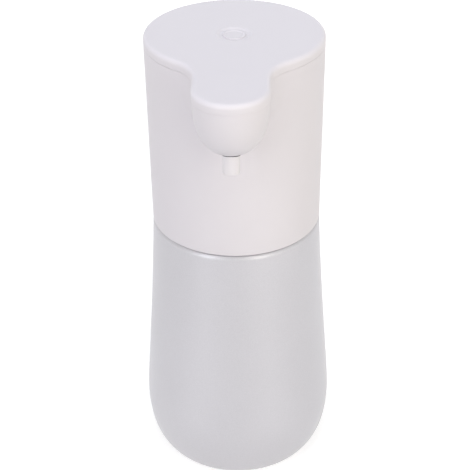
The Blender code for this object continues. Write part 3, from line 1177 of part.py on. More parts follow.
def charge_port(parent):
    """The charging socket on its small board behind a plugged opening in the back."""
    screw_y = CHARGE_REAR_Y - CHARGE_BOARD_DEPTH / 2
    half = CHARGE_BOARD_WIDTH / 2
    bm = bmesh.new()
    block(bm, (-half, CHARGE_FRONT_Y, CHARGE_BOARD_BASE), (half, CHARGE_REAR_Y, CHARGE_BOARD_TOP))
    piece = solid("charge_board", bm, BOARD_GREEN, parent)
    bm = bmesh.new()
    for side in (-1, 1):
        rod(bm, SMALL_SCREW_RADIUS + SEAT_GAP, CHARGE_BOARD_BASE - OVERRUN, CHARGE_BOARD_TOP + OVERRUN,
            (side * CHARGE_SCREW_OFFSET, screw_y), SCREW_SEGMENTS)
    cut(piece, "holes", bm)
    for label, side in (("left", -1), ("right", 1)):
        spot = (side * CHARGE_SCREW_OFFSET, screw_y, CHARGE_BOARD_TOP + SEAT_GAP)
        screw("charge_screw_" + label, SMALL_HEAD_RADIUS, SMALL_HEAD_HEIGHT, SMALL_SCREW_RADIUS,
              SMALL_SCREW_LENGTH, STEEL, parent, spot)

    rearward = Matrix.Rotation(-pi / 2, 4, "X")
    shell = rounded_slot(SOCKET_WIDTH / 2, SOCKET_HEIGHT / 2, PORT_CORNER_STEPS)
    mouth = rounded_slot(SOCKET_WIDTH / 2 - SOCKET_WALL, SOCKET_HEIGHT / 2 - SOCKET_WALL, PORT_CORNER_STEPS)
    bm = bmesh.new()
    depth = SOCKET_LENGTH - SOCKET_DEPTH
    rings = [[rearward @ Vector((x, y, z)) for x, y in outline]
             for outline, z in ((shell, 0), (shell, SOCKET_LENGTH), (mouth, SOCKET_LENGTH), (mouth, depth))]
    skin(bm, rings)
    piece = solid("charge_socket", bm, STEEL, parent, (0, SOCKET_REAR_Y - SOCKET_LENGTH, SOCKET_MIDDLE))
    bm = bmesh.new()
    half_tongue = TONGUE_WIDTH / 2
    half_thick = TONGUE_THICKNESS / 2
    block(bm, (-half_tongue, depth - EMBED, -half_thick), (half_tongue, depth + TONGUE_LENGTH, half_thick))
    join(piece, "tongue", bm)

    rim = PLUG_RIM - SEAT_GAP
    outline = rounded_slot(PORT_WIDTH / 2 + rim, PORT_HEIGHT / 2 + rim, PORT_CORNER_STEPS)
    flange_y = HEAD_RADIUS - PLUG_RIM_DEPTH + SEAT_GAP
    bm = bmesh.new()
    skin(bm, [[rearward @ Vector((x, y, z)) for x, y in outline]
              for z in (flange_y, HEAD_RADIUS + OVERRUN)])
    piece = solid("port_plug", bm, WHITE_PLASTIC, parent, (0, 0, SOCKET_MIDDLE))
    tall = PORT_HEIGHT + 2 * PLUG_RIM
    bm = bmesh.new()
    rod(bm, HEAD_RADIUS, -tall, tall, segments=2 * ROUND_SEGMENTS)
    combine(piece, "outer_curve", bm, "INTERSECT")
    stem = rounded_slot(PORT_WIDTH / 2 - SEAT_GAP, PORT_HEIGHT / 2 - SEAT_GAP, PORT_CORNER_STEPS)
    bm = bmesh.new()
    skin(bm, [[rearward @ Vector((x, y, z)) for x, y in stem]
              for z in (HOUSING_BORE, flange_y + EMBED)])
    join(piece, "stem", bm)


def dip_tube(parent):
    """The tube from the pump's inlet down to the strainer near the bottle's floor."""
    top = CHASSIS_UNDERSIDE - SEAT_GAP
    floor = PAD_THICKNESS + SEAT_GAP + BOTTLE_WALL
    end = floor + DIP_END_CLEARANCE
    drop = SPIGOT_END - end
    x, y = PORT_X, INLET_Y
    points = [(x, y, top), (x, y, SPIGOT_END), (x, y, SPIGOT_END - drop / 6)]
    points += [(x, y + DIP_END_OFFSET / 2, SPIGOT_END - drop / 2)]
    points += [(x, y + DIP_END_OFFSET, end + drop / 6), (x, y + DIP_END_OFFSET, end)]
    route = smooth_route(points)
    bm = bmesh.new()
    outer = route_rings(route, DIP_RADIUS, TUBE_SIDES)
    inner = route_rings(route, DIP_RADIUS - TUBE_WALL, TUBE_SIDES)
    skin(bm, outer + inner[::-1], loop=True)
    solid("dip_tube", bm, CLEAR_SILICONE, parent)

    bore = DIP_RADIUS + SEAT_GAP
    radius = bore + STRAINER_WALL
    low = floor + SEAT_GAP
    seat = end - SEAT_GAP
    profile = [(0, low), (radius, low), (radius, low + STRAINER_HEIGHT), (bore, low + STRAINER_HEIGHT)]
    profile += [(bore, seat), (DIP_RADIUS - TUBE_WALL, seat), (DIP_RADIUS - TUBE_WALL, low + STRAINER_WALL)]
    profile += [(0, low + STRAINER_WALL)]
    bm = bmesh.new()
    turned(bm, [(r, z - low) for r, z in profile])
    piece = solid("strainer", bm, NYLON, parent, (x, y + DIP_END_OFFSET, low))
    half = STRAINER_SLOT / 2
    reach = radius + OVERRUN
    bm = bmesh.new()
    block(bm, (-reach, -half, -OVERRUN), (reach, half, STRAINER_SLOT_HEIGHT))
    cut(piece, "slot", bm)


def outlet_tube(parent):
    """The soft tube from the pump's outlet up and forward through the spout to the nozzle."""
    start = PUMP_FRONT_Y - SEAT_GAP
    nozzle_seat = SPOUT_FLOOR + 2 * SEAT_GAP + NOZZLE_FLANGE
    barb_top = nozzle_seat + NOZZLE_BARB
    riser_y = RISER_SETBACK - HOUSING_BORE
    run_z = barb_top + TUBE_BEND
    points = [(PORT_X, start, OUTLET_Z), (PORT_X, PUMP_FRONT_Y - OUTLET_SPIGOT_LENGTH, OUTLET_Z)]
    points += [(PORT_X, riser_y + TUBE_BEND / 4, OUTLET_Z + TUBE_BEND / 2)]
    points += [(PORT_X / 2, riser_y, (OUTLET_Z + run_z) / 2)]
    points += [(0, riser_y, run_z - 2 * TUBE_BEND), (0, riser_y - TUBE_BEND / 2, run_z - TUBE_BEND / 2)]
    points += [(0, riser_y - 2 * TUBE_BEND, run_z), (0, -NOSE_Y + TUBE_BEND / 2, run_z - TUBE_BEND / 4)]
    points += [(0, -NOSE_Y, barb_top), (0, -NOSE_Y, nozzle_seat)]
    route = smooth_route(points)
    bm = bmesh.new()
    outer = route_rings(route, TUBE_RADIUS, TUBE_SIDES)
    inner = route_rings(route, TUBE_RADIUS - TUBE_WALL, TUBE_SIDES)
    skin(bm, outer + inner[::-1], loop=True)
    solid("outlet_tube", bm, CLEAR_SILICONE, parent)


def nozzle(parent):
    """The small round nozzle under the spout, with its flange, barb and dark root ring."""
    flange = SPOUT_FLOOR + SEAT_GAP
    barb = flange + NOZZLE_FLANGE
    tip = SPOUT_BOTTOM - NOZZLE_DROP
    profile = [(NOZZLE_BORE_RADIUS, barb + NOZZLE_BARB), (NOZZLE_BORE_RADIUS, tip + NOZZLE_MOUTH_DEPTH)]
    mouth = NOZZLE_RADIUS - NOZZLE_MOUTH_WALL
    profile += [(mouth, tip + NOZZLE_MOUTH_DEPTH), (mouth, tip)]
    centre = (NOZZLE_RADIUS - NOZZLE_TIP_ROUND, tip + NOZZLE_TIP_ROUND)
    profile += arc(centre, NOZZLE_TIP_ROUND, -pi / 2, 0, ROUND_STEPS)
    profile += [(NOZZLE_RADIUS, flange), (NOZZLE_FLANGE_RADIUS, flange), (NOZZLE_FLANGE_RADIUS, barb)]
    profile += [(OUTLET_SPIGOT_RADIUS, barb), (OUTLET_SPIGOT_RADIUS, barb + NOZZLE_BARB)]
    bm = bmesh.new()
    turned(bm, profile, MIDDLE_SEGMENTS, loop=True)
    solid("nozzle", bm, WHITE_PLASTIC, parent, (0, -NOSE_Y, 0))
    bm = bmesh.new()
    high = SPOUT_BOTTOM - SEAT_GAP
    inner = NOZZLE_RADIUS + RING_GAP
    tube(bm, inner, inner + RING_WIDTH, high - RING_THICKNESS, high, segments=MIDDLE_SEGMENTS)
    solid("nozzle_ring", bm, BLACK_RUBBER, parent, (0, -NOSE_Y, 0))


def sensor(parent):
    """The hand sensor in the spout: dark window, board, infrared emitter and receiver."""
    flange = SPOUT_FLOOR + SEAT_GAP
    profile = [(0, SPOUT_BOTTOM), (WINDOW_RADIUS, SPOUT_BOTTOM), (WINDOW_RADIUS, flange)]
    profile += [(WINDOW_FLANGE_RADIUS, flange), (WINDOW_FLANGE_RADIUS, flange + WINDOW_FLANGE)]
    profile += [(0, flange + WINDOW_FLANGE)]
    bm = bmesh.new()
    turned(bm, profile)
    solid("sensor_window", bm, DARK_LENS, parent, (0, WINDOW_Y, 0))

    half_width = SENSOR_BOARD_WIDTH / 2
    half_depth = SENSOR_BOARD_DEPTH / 2
    bm = bmesh.new()
    block(bm, (-half_width, -half_depth, 0), (half_width, half_depth, SENSOR_BOARD_THICKNESS))
    piece = solid("sensor_board", bm, BOARD_GREEN, parent, (0, WINDOW_Y, SENSOR_BOARD_BASE))
    bm = bmesh.new()
    for side in (-1, 1):
        rod(bm, SMALL_SCREW_RADIUS + SEAT_GAP, -OVERRUN, SENSOR_BOARD_THICKNESS + OVERRUN,
            (side * SENSOR_SCREW_OFFSET, 0), SCREW_SEGMENTS)
    cut(piece, "holes", bm)
    seat = SENSOR_BOARD_BASE + SENSOR_BOARD_THICKNESS + SEAT_GAP
    for label, side in (("left", -1), ("right", 1)):
        screw("sensor_screw_" + label, SMALL_HEAD_RADIUS, SMALL_HEAD_HEIGHT, SMALL_SCREW_RADIUS,
              SMALL_SCREW_LENGTH, STEEL, parent, (side * SENSOR_SCREW_OFFSET, WINDOW_Y, seat))

    low = flange + WINDOW_FLANGE + SEAT_GAP
    high = SENSOR_BOARD_BASE - SEAT_GAP
    dome = [(0, low)] + [(r, z) for r, z in arc((0, low + SENSOR_LAMP_RADIUS), SENSOR_LAMP_RADIUS,
                                                -pi / 2, 0, ROUND_STEPS)[1:]]
    for name, side, look in (("ir_emitter", -1, CLEAR_SILICONE), ("ir_receiver", 1, DARK_LENS)):
        bm = bmesh.new()
        turned(bm, dome + [(SENSOR_LAMP_RADIUS, high), (0, high)], SCREW_SEGMENTS)
        solid(name, bm, look, parent, (side * SENSOR_LAMP_OFFSET, WINDOW_Y, 0))


def lead(name, points, parent):
    """A thin sheathed lead along a smooth route."""
    bm = bmesh.new()
    skin(bm, route_rings(smooth_route(points), LEAD_RADIUS, LEAD_SIDES))
    solid(name, bm, BLACK_SHEATH, parent)


def leads(parent):
    """The leads that run to the control board from the motor, cell, charging board and sensor."""
    board = BOARD_UNDERSIDE - SEAT_GAP
    touch = SEAT_GAP + LEAD_RADIUS
    x = DRIVE_X + TERMINAL_WIDTH / 2 + touch
    y = DRIVE_Y + TERMINAL_OFFSET
    high = END_CAP_BASE + TERMINAL_HEIGHT
    bent = x + LEAD_SLACK
    lead("motor_lead", [(x, y, END_CAP_TOP + SEAT_GAP), (x, y, high), (bent, y, (high + board) / 2),
                        (bent, y, board)], parent)
    x = CELL_X - CELL_PAD_RADIUS - touch
    low = CELL_TOP - CELL_NUB_HEIGHT + SEAT_GAP
    lead("battery_lead", [(x, CELL_Y, low), (x, CELL_Y, (low + board) / 2), (x, CELL_Y, board)], parent)
    x = -CHARGE_BOARD_WIDTH / 2 + touch
    y = CHARGE_FRONT_Y + touch
    low = CHARGE_BOARD_TOP + SEAT_GAP
    bent = y - 2 * LEAD_SLACK
    lead("charge_lead", [(x, y, low), (x, y, low + LEAD_SLACK), (x, bent, low + 3 * LEAD_SLACK),
                         (x, bent, board - LEAD_SLACK), (x, bent, board)], parent)
    y = WINDOW_Y + SENSOR_BOARD_DEPTH / 2 - touch
    x = SENSOR_SCREW_OFFSET - SMALL_HEAD_RADIUS - touch
    low = SENSOR_BOARD_BASE + SENSOR_BOARD_THICKNESS + SEAT_GAP
    rise = board - low
    inner = -BOARD_RADIUS + LEAD_SLACK
    lead("sensor_lead", [(x, y, low), (x, y + LEAD_SLACK / 2, low + rise / 3),
                         (x + LEAD_SLACK / 2, inner - LEAD_SLACK / 2, low + rise / 2),
                         (x + LEAD_SLACK, inner, board)], parent)


def head_axis():
    """The marker on the screw's axis that carries every piece of the head."""
    marker = bpy.data.objects.new("head_axis", None)
    bpy.context.scene.collection.objects.link(marker)
    return marker


def build():
    """Models every piece; the head's pieces hang from one marker."""
    clear_scene()
    head = head_axis()
    foot_pad()
    bottle()
    neck_gasket(head)
    chassis(head)
    housing(head)
    housing_screws(head)
    top_cover(head)
    power_button(head)
    tact_switch(head)
    main_board(head)
    pump_body(head)
    pump_gasket(head)
    pump_cover(head)
    shaft_seal(head)
    inlet_seal(head)
    pump_screws(head)
    gears(head)
    motor(head)
    battery(head)
    charge_port(head)
    dip_tube(head)
    outlet_tube(head)
    nozzle(head)
    sensor(head)
    leads(head)


build()
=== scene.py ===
"""Automatic soap dispenser: finished surfaces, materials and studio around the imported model.

Metres, +Z up, spout toward -Y. Every new piece is a grid surface worked out with numpy.
"""

import json
from math import acos, atan2, cos, hypot, pi, radians, sin, sqrt, tan

import bpy
import numpy as np
from mathutils import Matrix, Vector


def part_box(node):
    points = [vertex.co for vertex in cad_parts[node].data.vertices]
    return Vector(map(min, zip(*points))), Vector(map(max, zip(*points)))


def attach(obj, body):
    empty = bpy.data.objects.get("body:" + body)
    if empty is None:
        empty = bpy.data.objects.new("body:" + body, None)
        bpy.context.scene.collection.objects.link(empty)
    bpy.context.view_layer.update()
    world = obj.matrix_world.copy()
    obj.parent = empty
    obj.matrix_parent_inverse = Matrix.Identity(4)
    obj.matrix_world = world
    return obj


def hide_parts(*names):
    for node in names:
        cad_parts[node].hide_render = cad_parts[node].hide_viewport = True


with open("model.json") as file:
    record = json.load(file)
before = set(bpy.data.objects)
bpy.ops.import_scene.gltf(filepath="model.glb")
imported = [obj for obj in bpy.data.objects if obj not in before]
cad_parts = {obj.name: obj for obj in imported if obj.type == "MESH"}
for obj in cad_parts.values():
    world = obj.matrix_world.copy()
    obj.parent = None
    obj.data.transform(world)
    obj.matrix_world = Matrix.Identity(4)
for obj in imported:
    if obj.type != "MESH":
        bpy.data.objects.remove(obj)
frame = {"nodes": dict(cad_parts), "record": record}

bl_info = {
    "name": "Soap dispenser surfaces",
    "version": (1, 0, 0),
    "blender": (4, 5, 0),
    "location": "3D View > Sidebar > Dispenser",
    "description": "Fine surfaces and finishes for a touchless soap dispenser",
    "category": "Add Mesh",
}

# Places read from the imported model
HOUSING_LOW, HOUSING_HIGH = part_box("housing")
LID_LOW, LID_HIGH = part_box("top_cover")
NOZZLE_LOW, NOZZLE_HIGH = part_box("nozzle")
WINDOW_LOW, WINDOW_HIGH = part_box("sensor_window")
BUTTON_LOW, BUTTON_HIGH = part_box("power_button")
BOTTLE_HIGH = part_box("bottle")[1]
PAD_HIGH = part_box("foot_pad")[1]
GASKET_LOW, GASKET_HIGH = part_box("neck_gasket")
SOCKET_LOW, SOCKET_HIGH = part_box("charge_socket")

HEAD_RADIUS = HOUSING_HIGH.x
HOUSING_BASE = HOUSING_LOW.z
HOUSING_TOP = HOUSING_HIGH.z
TOTAL_HEIGHT = LID_HIGH.z
SPOUT_REACH = -LID_LOW.y
SPOUT_BOTTOM = WINDOW_LOW.z
NOZZLE_TIP = NOZZLE_LOW.z
NOSE_Y = (NOZZLE_LOW.y + NOZZLE_HIGH.y) / 2
WINDOW_Y = (WINDOW_LOW.y + WINDOW_HIGH.y) / 2
BUTTON_Y = (BUTTON_LOW.y + BUTTON_HIGH.y) / 2
NECK_TOP = BOTTLE_HIGH.z
BELLY_RADIUS = BOTTLE_HIGH.x
SOCKET_Z = (SOCKET_LOW.z + SOCKET_HIGH.z) / 2

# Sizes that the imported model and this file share
SEAT_GAP = 0.0003
SEAM_GAP = 0.0004
SPOUT_HALF_WIDTH = SPOUT_REACH + NOSE_Y
SPOUT_INSET = 0.0002
SPOUT_FLAT = 0.0039
SPOUT_POWER = 2.5
SPOUT_ROOT_DROP = 0.0005
SHOULDER_FILLET = 0.0180
DOME_FILLET = 0.0060
HOUSING_WALL = 0.0022
COVER_BASE = HOUSING_TOP + SEAT_GAP
COVER_PLATE = 0.0022
LIP_WALL = 0.0012
LIP_DEPTH = 0.0030
SHOULDER_TOP = HOUSING_BASE - SEAM_GAP
SHOULDER_RADIUS = HEAD_RADIUS + 0.0001
FOOT_RADIUS = 0.0356
BELLY_HEIGHT = 0.0259
BOTTLE_WALL = 0.0020
PAD_PROUD = 0.0004
CORNER_OUT = 0.311
CORNER_UP = 0.789
FLARE_RISE = 0.101
FLARE_LEAN = 0.053
FLARE_DROP = 0.473
NECK_RADIUS = 0.0298
NECK_BORE = 0.0276
THREAD_LEAD = 0.0040
THREAD_TURNS = 1.25
THREAD_START = 0.0034
THREAD_DEPTH = 0.0015
THREAD_ROOT = 0.0017
THREAD_CREST = 0.0009
THREAD_FADE = 0.08
THREAD_SUNK = 0.0004
LID_HAIRLINE = 0.00006
BUTTON_CAP = 0.0047
BUTTON_GAP = 0.00002
BOSS_CIRCLE = 0.0235
BOSS_TURNS = (radians(90), radians(210), radians(330))
NOZZLE_HALF_WIDTH = 0.0034
NOZZLE_HALF_DEPTH = 0.0025
NOZZLE_FORWARD = 0.0005
NOZZLE_POWER = 2.6
NOZZLE_LONGER = 0.0006
RING_HALF_WIDTH = 0.0039
# The ring at the nozzle's root reaches this much lower, so that more of its painted shade shows under
# the spout.
SHADE_RING_LONGER = 0.0003
PORT_WIDTH = 0.0105
PORT_HEIGHT = 0.0049
PORT_RIM = 0.0014
PORT_RIM_DEPTH = 0.0013

# Small forms of the finished pieces
HOLE_PLAY = 0.0001
INNER_FILLET = 0.0008
LIP_BEVEL = 0.0003
DISH_SLOPE = 0.0012
DISH_LIP = 0.0009
DISH_BLEND = 0.0006
GASKET_PLAY = 0.0004
BEAD_HALF_WIDTH = 0.0005
BEAD_HEIGHT = 0.0003
WINDOW_HOLE = 0.0039
WINDOW_RADIUS = 0.0036
WINDOW_FLANGE_RADIUS = 0.0046
WINDOW_FLANGE = 0.0010
BOSS_RADIUS = 0.0026
BOSS_BORE = 0.0011
BOSS_DEPTH = 0.0075
GUIDE_WALL = 0.0010
GUIDE_DEPTH = 0.0022
GROOVE_PITCH = 0.0034
GROOVE_DEPTH = 0.00028
GROOVE_START = 0.0040
STEM_RADIUS = 0.0015
BUTTON_FLANGE = 0.0008
BUTTON_RIM_WIDTH = 0.00045
BUTTON_SLOPE = 0.00060
NOZZLE_BORE = 0.0009
NOZZLE_MOUTH = 0.0018
NOZZLE_MOUTH_DEPTH = 0.0020
NOZZLE_FLANGE_RADIUS = 0.0050
NOZZLE_FLANGE = 0.0012
BARB_RADIUS = 0.0015
BARB_WAIST = 0.0014
BARB_END = 0.0013
NOTCH_X = 0.0046
NOTCH_DEPTH = 0.00045
PLUG_SOFT_EDGE = 0.0003
SOCKET_WALL = 0.0003
SOCKET_DEPTH = 0.0062
TONGUE_HALF_WIDTH = 0.00335
TONGUE_HALF_HEIGHT = 0.00035
CONTACT_SPREAD = 0.0027
CONTACT_COUNT = 12

# The studio
FLOOR_DROP = 0.0002
FLOOR_GLOW = 0.60
GLOW_FROM = 0.40
GLOW_TO = 1.10
WORLD_LEVEL = 0.76
WORLD_SLOPES = (-0.29, -0.28, -0.40)
WORLD_COLOUR = (1.0, 0.98, 0.97, 1)
SENSOR_WIDTH = 36.0
FOCAL_PIXELS = 1068.1
PICTURE_PIXELS = 470
SHIFT_PIXELS = -1.5
CAMERA_SWING = radians(1.75)
CAMERA_PITCH = radians(32.944)
CAMERA_ROLL = radians(-0.594)
CAMERA_AWAY = 0.41231
CAMERA_HEIGHT = 0.38068
LAMPS = (
    # name, place, aim, width, height, power, colour, shows in reflections
    ("left_softbox", (-0.56, -0.77, 0.45), (0, 0, 0.12), 0.12, 0.90, 1.84, (0.90, 0.935, 1.0), True),
    ("right_softbox", (0.51, -0.80, 0.45), (0, 0, 0.12), 0.12, 0.90, 1.74, (1.0, 0.97, 0.87), True),
    ("right_wide_box", (0.85, -0.45, 0.40), (0, 0, 0.12), 0.60, 0.60, 2.50, (1.0, 0.955, 0.84), False),
    ("top_box", (0.0, -0.05, 1.00), (0, 0, 0.15), 0.35, 0.35, 2.36, (0.77, 0.86, 1.0), False),
    ("back_box", (0.15, 1.00, 0.35), (0, 0, 0.10), 0.90, 0.50, 0.85, (1.0, 1.0, 1.0), True),
    ("back_low_box", (0.10, 0.90, 0.105), (0, 0, 0.105), 0.90, 0.19, 1.70, (0.98, 1.0, 1.0), False),
    ("left_low_strip", (-0.125, -0.165, 0.016), (0, 0, 2.0), 0.055, 0.26, 0.0052, (1.0, 1.0, 1.0), True),
    ("right_low_strip", (0.125, -0.165, 0.016), (0, 0, 2.0), 0.055, 0.26, 0.0042, (1.0, 1.0, 1.0), True),
)


def length_setting(name, description, value, least, most):
    """A small length that the user can change in the sidebar."""
    return bpy.props.FloatProperty(name=name, description=description, default=value,
                                   min=least, max=most, unit="LENGTH", precision=5)


class DispenserSizes(bpy.types.PropertyGroup):
    """The small sizes that shape the finished surfaces."""
    lid_round: length_setting(
        "Lid edge round", "Radius of the lid's upper edge", 0.0019, 0.0005, 0.0030)
    dish_radius: length_setting(
        "Dish radius", "Radius of the shallow dish round the button", 0.0073, 0.006, 0.010)
    dish_depth: length_setting(
        "Dish depth", "How far the dish sinks into the lid", 0.0006, 0.0001, 0.0010)
    button_rim: length_setting(
        "Button rim", "Height of the button's rounded rim above the dish", 0.0004, 0.0001, 0.0006)
    button_sunk: length_setting(
        "Button face", "How far the button's face lies below its rim", 0.00030, 0.00005, 0.0005)
    root_fillet: length_setting(
        "Spout root fillet", "Radius where the spout's underside meets the round body",
        0.0012, 0.0003, 0.0020)
    shoulder_round: length_setting(
        "Bottle shoulder round", "Radius of the bottle's upper edge at the seam", 0.0028, 0.0005, 0.0032)
    seam_gap: length_setting(
        "Seam gap", "Height of the dark line between the housing and the bottle",
        0.00026, 0.0001, 0.0006)
    rim_break: length_setting(
        "Parting edge break", "Radius of the small edges along the parting lines",
        0.00012, 0.00005, 0.0003)


def colour_setting(name, description, value):
    """A colour that the user can change in the sidebar."""
    return bpy.props.FloatVectorProperty(name=name, description=description, default=value,
                                         min=0.0, max=1.0, size=3, subtype="COLOR")


class DispenserColours(bpy.types.PropertyGroup):
    """The colours of the finishes, in linear light."""
    shell: colour_setting("Housing", "White plastic of the housing and the plug", (0.742, 0.707, 0.740))
    nozzle: colour_setting("Nozzle", "Brighter white plastic of the nozzle", (0.785, 0.750, 0.775))
    # The lid's white is the housing's white raised by 3 percent: painted light that makes the lid's top
    # and the button read brighter than the walls.
    lid: colour_setting("Lid", "White plastic of the lid and the button", (0.764, 0.728, 0.762))
    pearl: colour_setting("Bottle", "Pearl silver of the bottle", (0.554, 0.541, 0.568))
    # The rubber colour also paints the ring at the nozzle's root black, as painted shade for the shadow
    # gap there.
    rubber: colour_setting(
        "Rubber", "Foot pad, seals and the ring at the nozzle's root", (0.025, 0.025, 0.027))
    silicone: colour_setting("Silicone", "Gasket and soft tubes", (0.76, 0.77, 0.78))
    frame_grey: colour_setting("Inner frame", "Grey plastic of the inner frame", (0.20, 0.21, 0.22))
    nylon: colour_setting("Nylon", "Pump and gears", (0.84, 0.81, 0.73))
    steel: colour_setting("Steel", "Screws, pins and the shaft", (0.60, 0.60, 0.61))
    motor: colour_setting("Motor can", "Nickel-plated steel of the motor", (0.68, 0.66, 0.62))
    brass: colour_setting("Brass", "Motor terminals", (0.74, 0.56, 0.27))
    board: colour_setting("Circuit board", "Lacquer of the circuit boards", (0.015, 0.16, 0.07))
    wrap: colour_setting("Cell wrap", "Shrink wrap of the battery cell", (0.03, 0.13, 0.40))
    lens: colour_setting("Sensor window", "Dark infrared window", (0.018, 0.008, 0.020))
    sheath: colour_setting("Lead sheath", "Sheath of the inner leads", (0.018, 0.018, 0.018))
    gold: colour_setting("Contacts", "Gold plating of the charging contacts", (0.83, 0.62, 0.26))


def sizes():
    return bpy.context.scene.dispenser_sizes


def colours():
    return bpy.context.scene.dispenser_colours


def line(start, end, steps):
    """Points on a straight line, both ends included."""
    share = np.linspace(0, 1, steps + 1)[:, None]
    return np.asarray(start, float) * (1 - share) + np.asarray(end, float) * share


def arc(centre, radius, start, end, steps):
    """Points on a circle from one angle to another: centre plus radius times cosine and sine."""
    turn = np.linspace(start, end, steps + 1)
    return np.column_stack((centre[0] + radius * np.cos(turn), centre[1] + radius * np.sin(turn)))


def bezier(points, steps):
    """A cubic Bezier curve: its four points blended by the Bernstein weights."""
    t = np.linspace(0, 1, steps + 1)[:, None]
    a, b, c, d = (np.asarray(p, float) for p in points)
    return a * (1 - t) ** 3 + 3 * b * t * (1 - t) ** 2 + 3 * c * t * t * (1 - t) + d * t ** 3


def rounded(corners, steps=5, closed=True):
    """A path of straight lines through (x, y, radius) corners, each corner an arc of its radius.

    The arc's centre lies on the corner's bisector at radius over the sine of half the angle,
    and its points swing from one tangent point to the other.
    """
    count = len(corners)
    path = []
    for i, (x, y, radius) in enumerate(corners):
        here = np.array((x, y), float)
        if not radius or (not closed and i in (0, count - 1)):
            path.append(here[None])
            continue
        before = np.array(corners[i - 1][:2], float) - here
        after = np.array(corners[(i + 1) % count][:2], float) - here
        before /= np.linalg.norm(before)
        after /= np.linalg.norm(after)
        half = acos(np.clip(before @ after, -1, 1)) / 2
        middle = before + after
        centre = here + middle / np.linalg.norm(middle) * radius / sin(half)
        start = here + before * radius / tan(half) - centre
        end = here + after * radius / tan(half) - centre
        swing = acos(np.clip(start @ end / radius ** 2, -1, 1))
        share = np.linspace(0, 1, steps + 1)[:, None]
        swung = np.sin((1 - share) * swing) * start + np.sin(share * swing) * end
        path.append(centre + swung / sin(swing))
    return np.concatenate(path)


def revolve(profile, segments, centre=(0, 0)):
    """A surface of revolution: each (radius, height) point goes once round an upright axis."""
    turn = np.linspace(0, 2 * pi, segments, endpoint=False)
    radius = profile[:, 0, None]
    height = np.broadcast_to(profile[:, 1, None], (len(profile), segments))
    return np.stack((centre[0] + radius * np.cos(turn), centre[1] + radius * np.sin(turn), height), -1)


def oblong(grid, level):
    """Points turned round the nozzle's axis, made oblong below a level.

    At each angle the radius grows by (|cos|^p + |sin|^p)^(-1/p), the power law's rounded oblong; then
    the depth shrinks to its share of the width, and the whole moves forward.
    """
    x, y = grid[..., 0], grid[..., 1] - NOSE_Y
    turn = np.arctan2(y, x)
    power = NOZZLE_POWER
    full = (np.abs(np.cos(turn)) ** power + np.abs(np.sin(turn)) ** power) ** (-1 / power)
    deep = y * full * NOZZLE_HALF_DEPTH / NOZZLE_HALF_WIDTH - NOZZLE_FORWARD
    low = grid[..., 2] < level
    return np.stack((np.where(low, x * full, x), NOSE_Y + np.where(low, deep, y), grid[..., 2]), -1)


def numbering(grid):
    """The number of each corner of a grid, row by row."""
    return np.arange(grid.shape[0] * grid.shape[1]).reshape(grid.shape[:2])


def quads_between(below, above):
    """Quads from each row of numbers to the one above it, closed round the columns."""
    return np.stack((below, np.roll(below, -1, 1), np.roll(above, -1, 1), above), -1).reshape(-1, 4)


def corners_used(grid, faces):
    """The corners that the faces touch, and the faces numbered to match."""
    used, faces = np.unique(faces, return_inverse=True)
    return grid.reshape(-1, 3)[used], faces.reshape(-1, 4)


def shell(grid, ring=False):
    """Corners and quads of a grid whose columns close on themselves.

    With ring the rows close too; otherwise the first and last rows are poles, each one corner.
    The faces are turned round where the enclosed volume comes out negative.
    """
    index = numbering(grid)
    if not ring:
        index[0] = index[0, 0]
        index[-1] = index[-1, 0]
    below = index if ring else index[:-1]
    above = np.roll(index, -1, 0) if ring else index[1:]
    corners, faces = corners_used(grid, quads_between(below, above))
    a, b, c, d = (corners[faces[:, k]] for k in range(4))
    volume = np.einsum("ij,ij->", a, np.cross(b, c)) + np.einsum("ij,ij->", a, np.cross(c, d))
    return corners, faces if volume > 0 else faces[:, ::-1]


def without_repeats(face):
    """A quad with its doubled corner left out, where it touches a pole."""
    return [v for k, v in enumerate(face) if v != face[k - 1]]


def mesh_piece(name, shells, material):
    """One object at the origin from any number of closed shells."""
    corners, faces, first = [], [], 0
    for points, quads in shells:
        corners.append(points)
        faces += [without_repeats(face) for face in (quads + first).tolist()]
        first += len(points)
    mesh = bpy.data.meshes.new(name)
    mesh.from_pydata(np.concatenate(corners).tolist(), [], faces)
    mesh.validate()
    piece = bpy.data.objects.new(name, mesh)
    bpy.context.scene.collection.objects.link(piece)
    mesh.materials.append(material)
    return piece


def smooth(piece, angle):
    """Smooth shading with a crease wherever two faces meet at more than the angle."""
    piece.data.shade_smooth()
    piece.data.set_sharp_from_angle(angle=angle)


def carve(piece, cutters):
    """Cuts each closed shell out of the piece by an exact boolean and keeps the result."""
    tools = []
    for k, cutter in enumerate(cutters):
        tool = mesh_piece(f"{piece.name}_cut_{k}", [cutter], piece.data.materials[0])
        modifier = piece.modifiers.new(f"cut_{k}", "BOOLEAN")
        modifier.operation = "DIFFERENCE"
        modifier.solver = "EXACT"
        modifier.object = tool
        tools.append(tool)
    graph = bpy.context.evaluated_depsgraph_get()
    mesh = bpy.data.meshes.new_from_object(piece.evaluated_get(graph), depsgraph=graph)
    piece.modifiers.clear()
    piece.data = mesh
    mesh.name = piece.name
    for tool in tools:
        bpy.data.objects.remove(tool, do_unlink=True)


def feed(tree, node, values):
    """Sets inputs of a node: a socket is linked, and anything else becomes the input's value."""
    for key, value in values.items():
        if isinstance(value, bpy.types.NodeSocket):
            tree.links.new(value, node.inputs[key])
        else:
            node.inputs[key].default_value = value
    return node


def add(tree, kind, values=None, **settings):
    """A new shader node with some of its settings made and some of its inputs fed."""
    node = tree.nodes.new(kind)
    for key, value in settings.items():
        setattr(node, key, value)
    return feed(tree, node, values or {})


def math_node(tree, operation, *values):
    """The output of a Math node fed with numbers or sockets."""
    return add(tree, "ShaderNodeMath", dict(enumerate(values)), operation=operation).outputs[0]


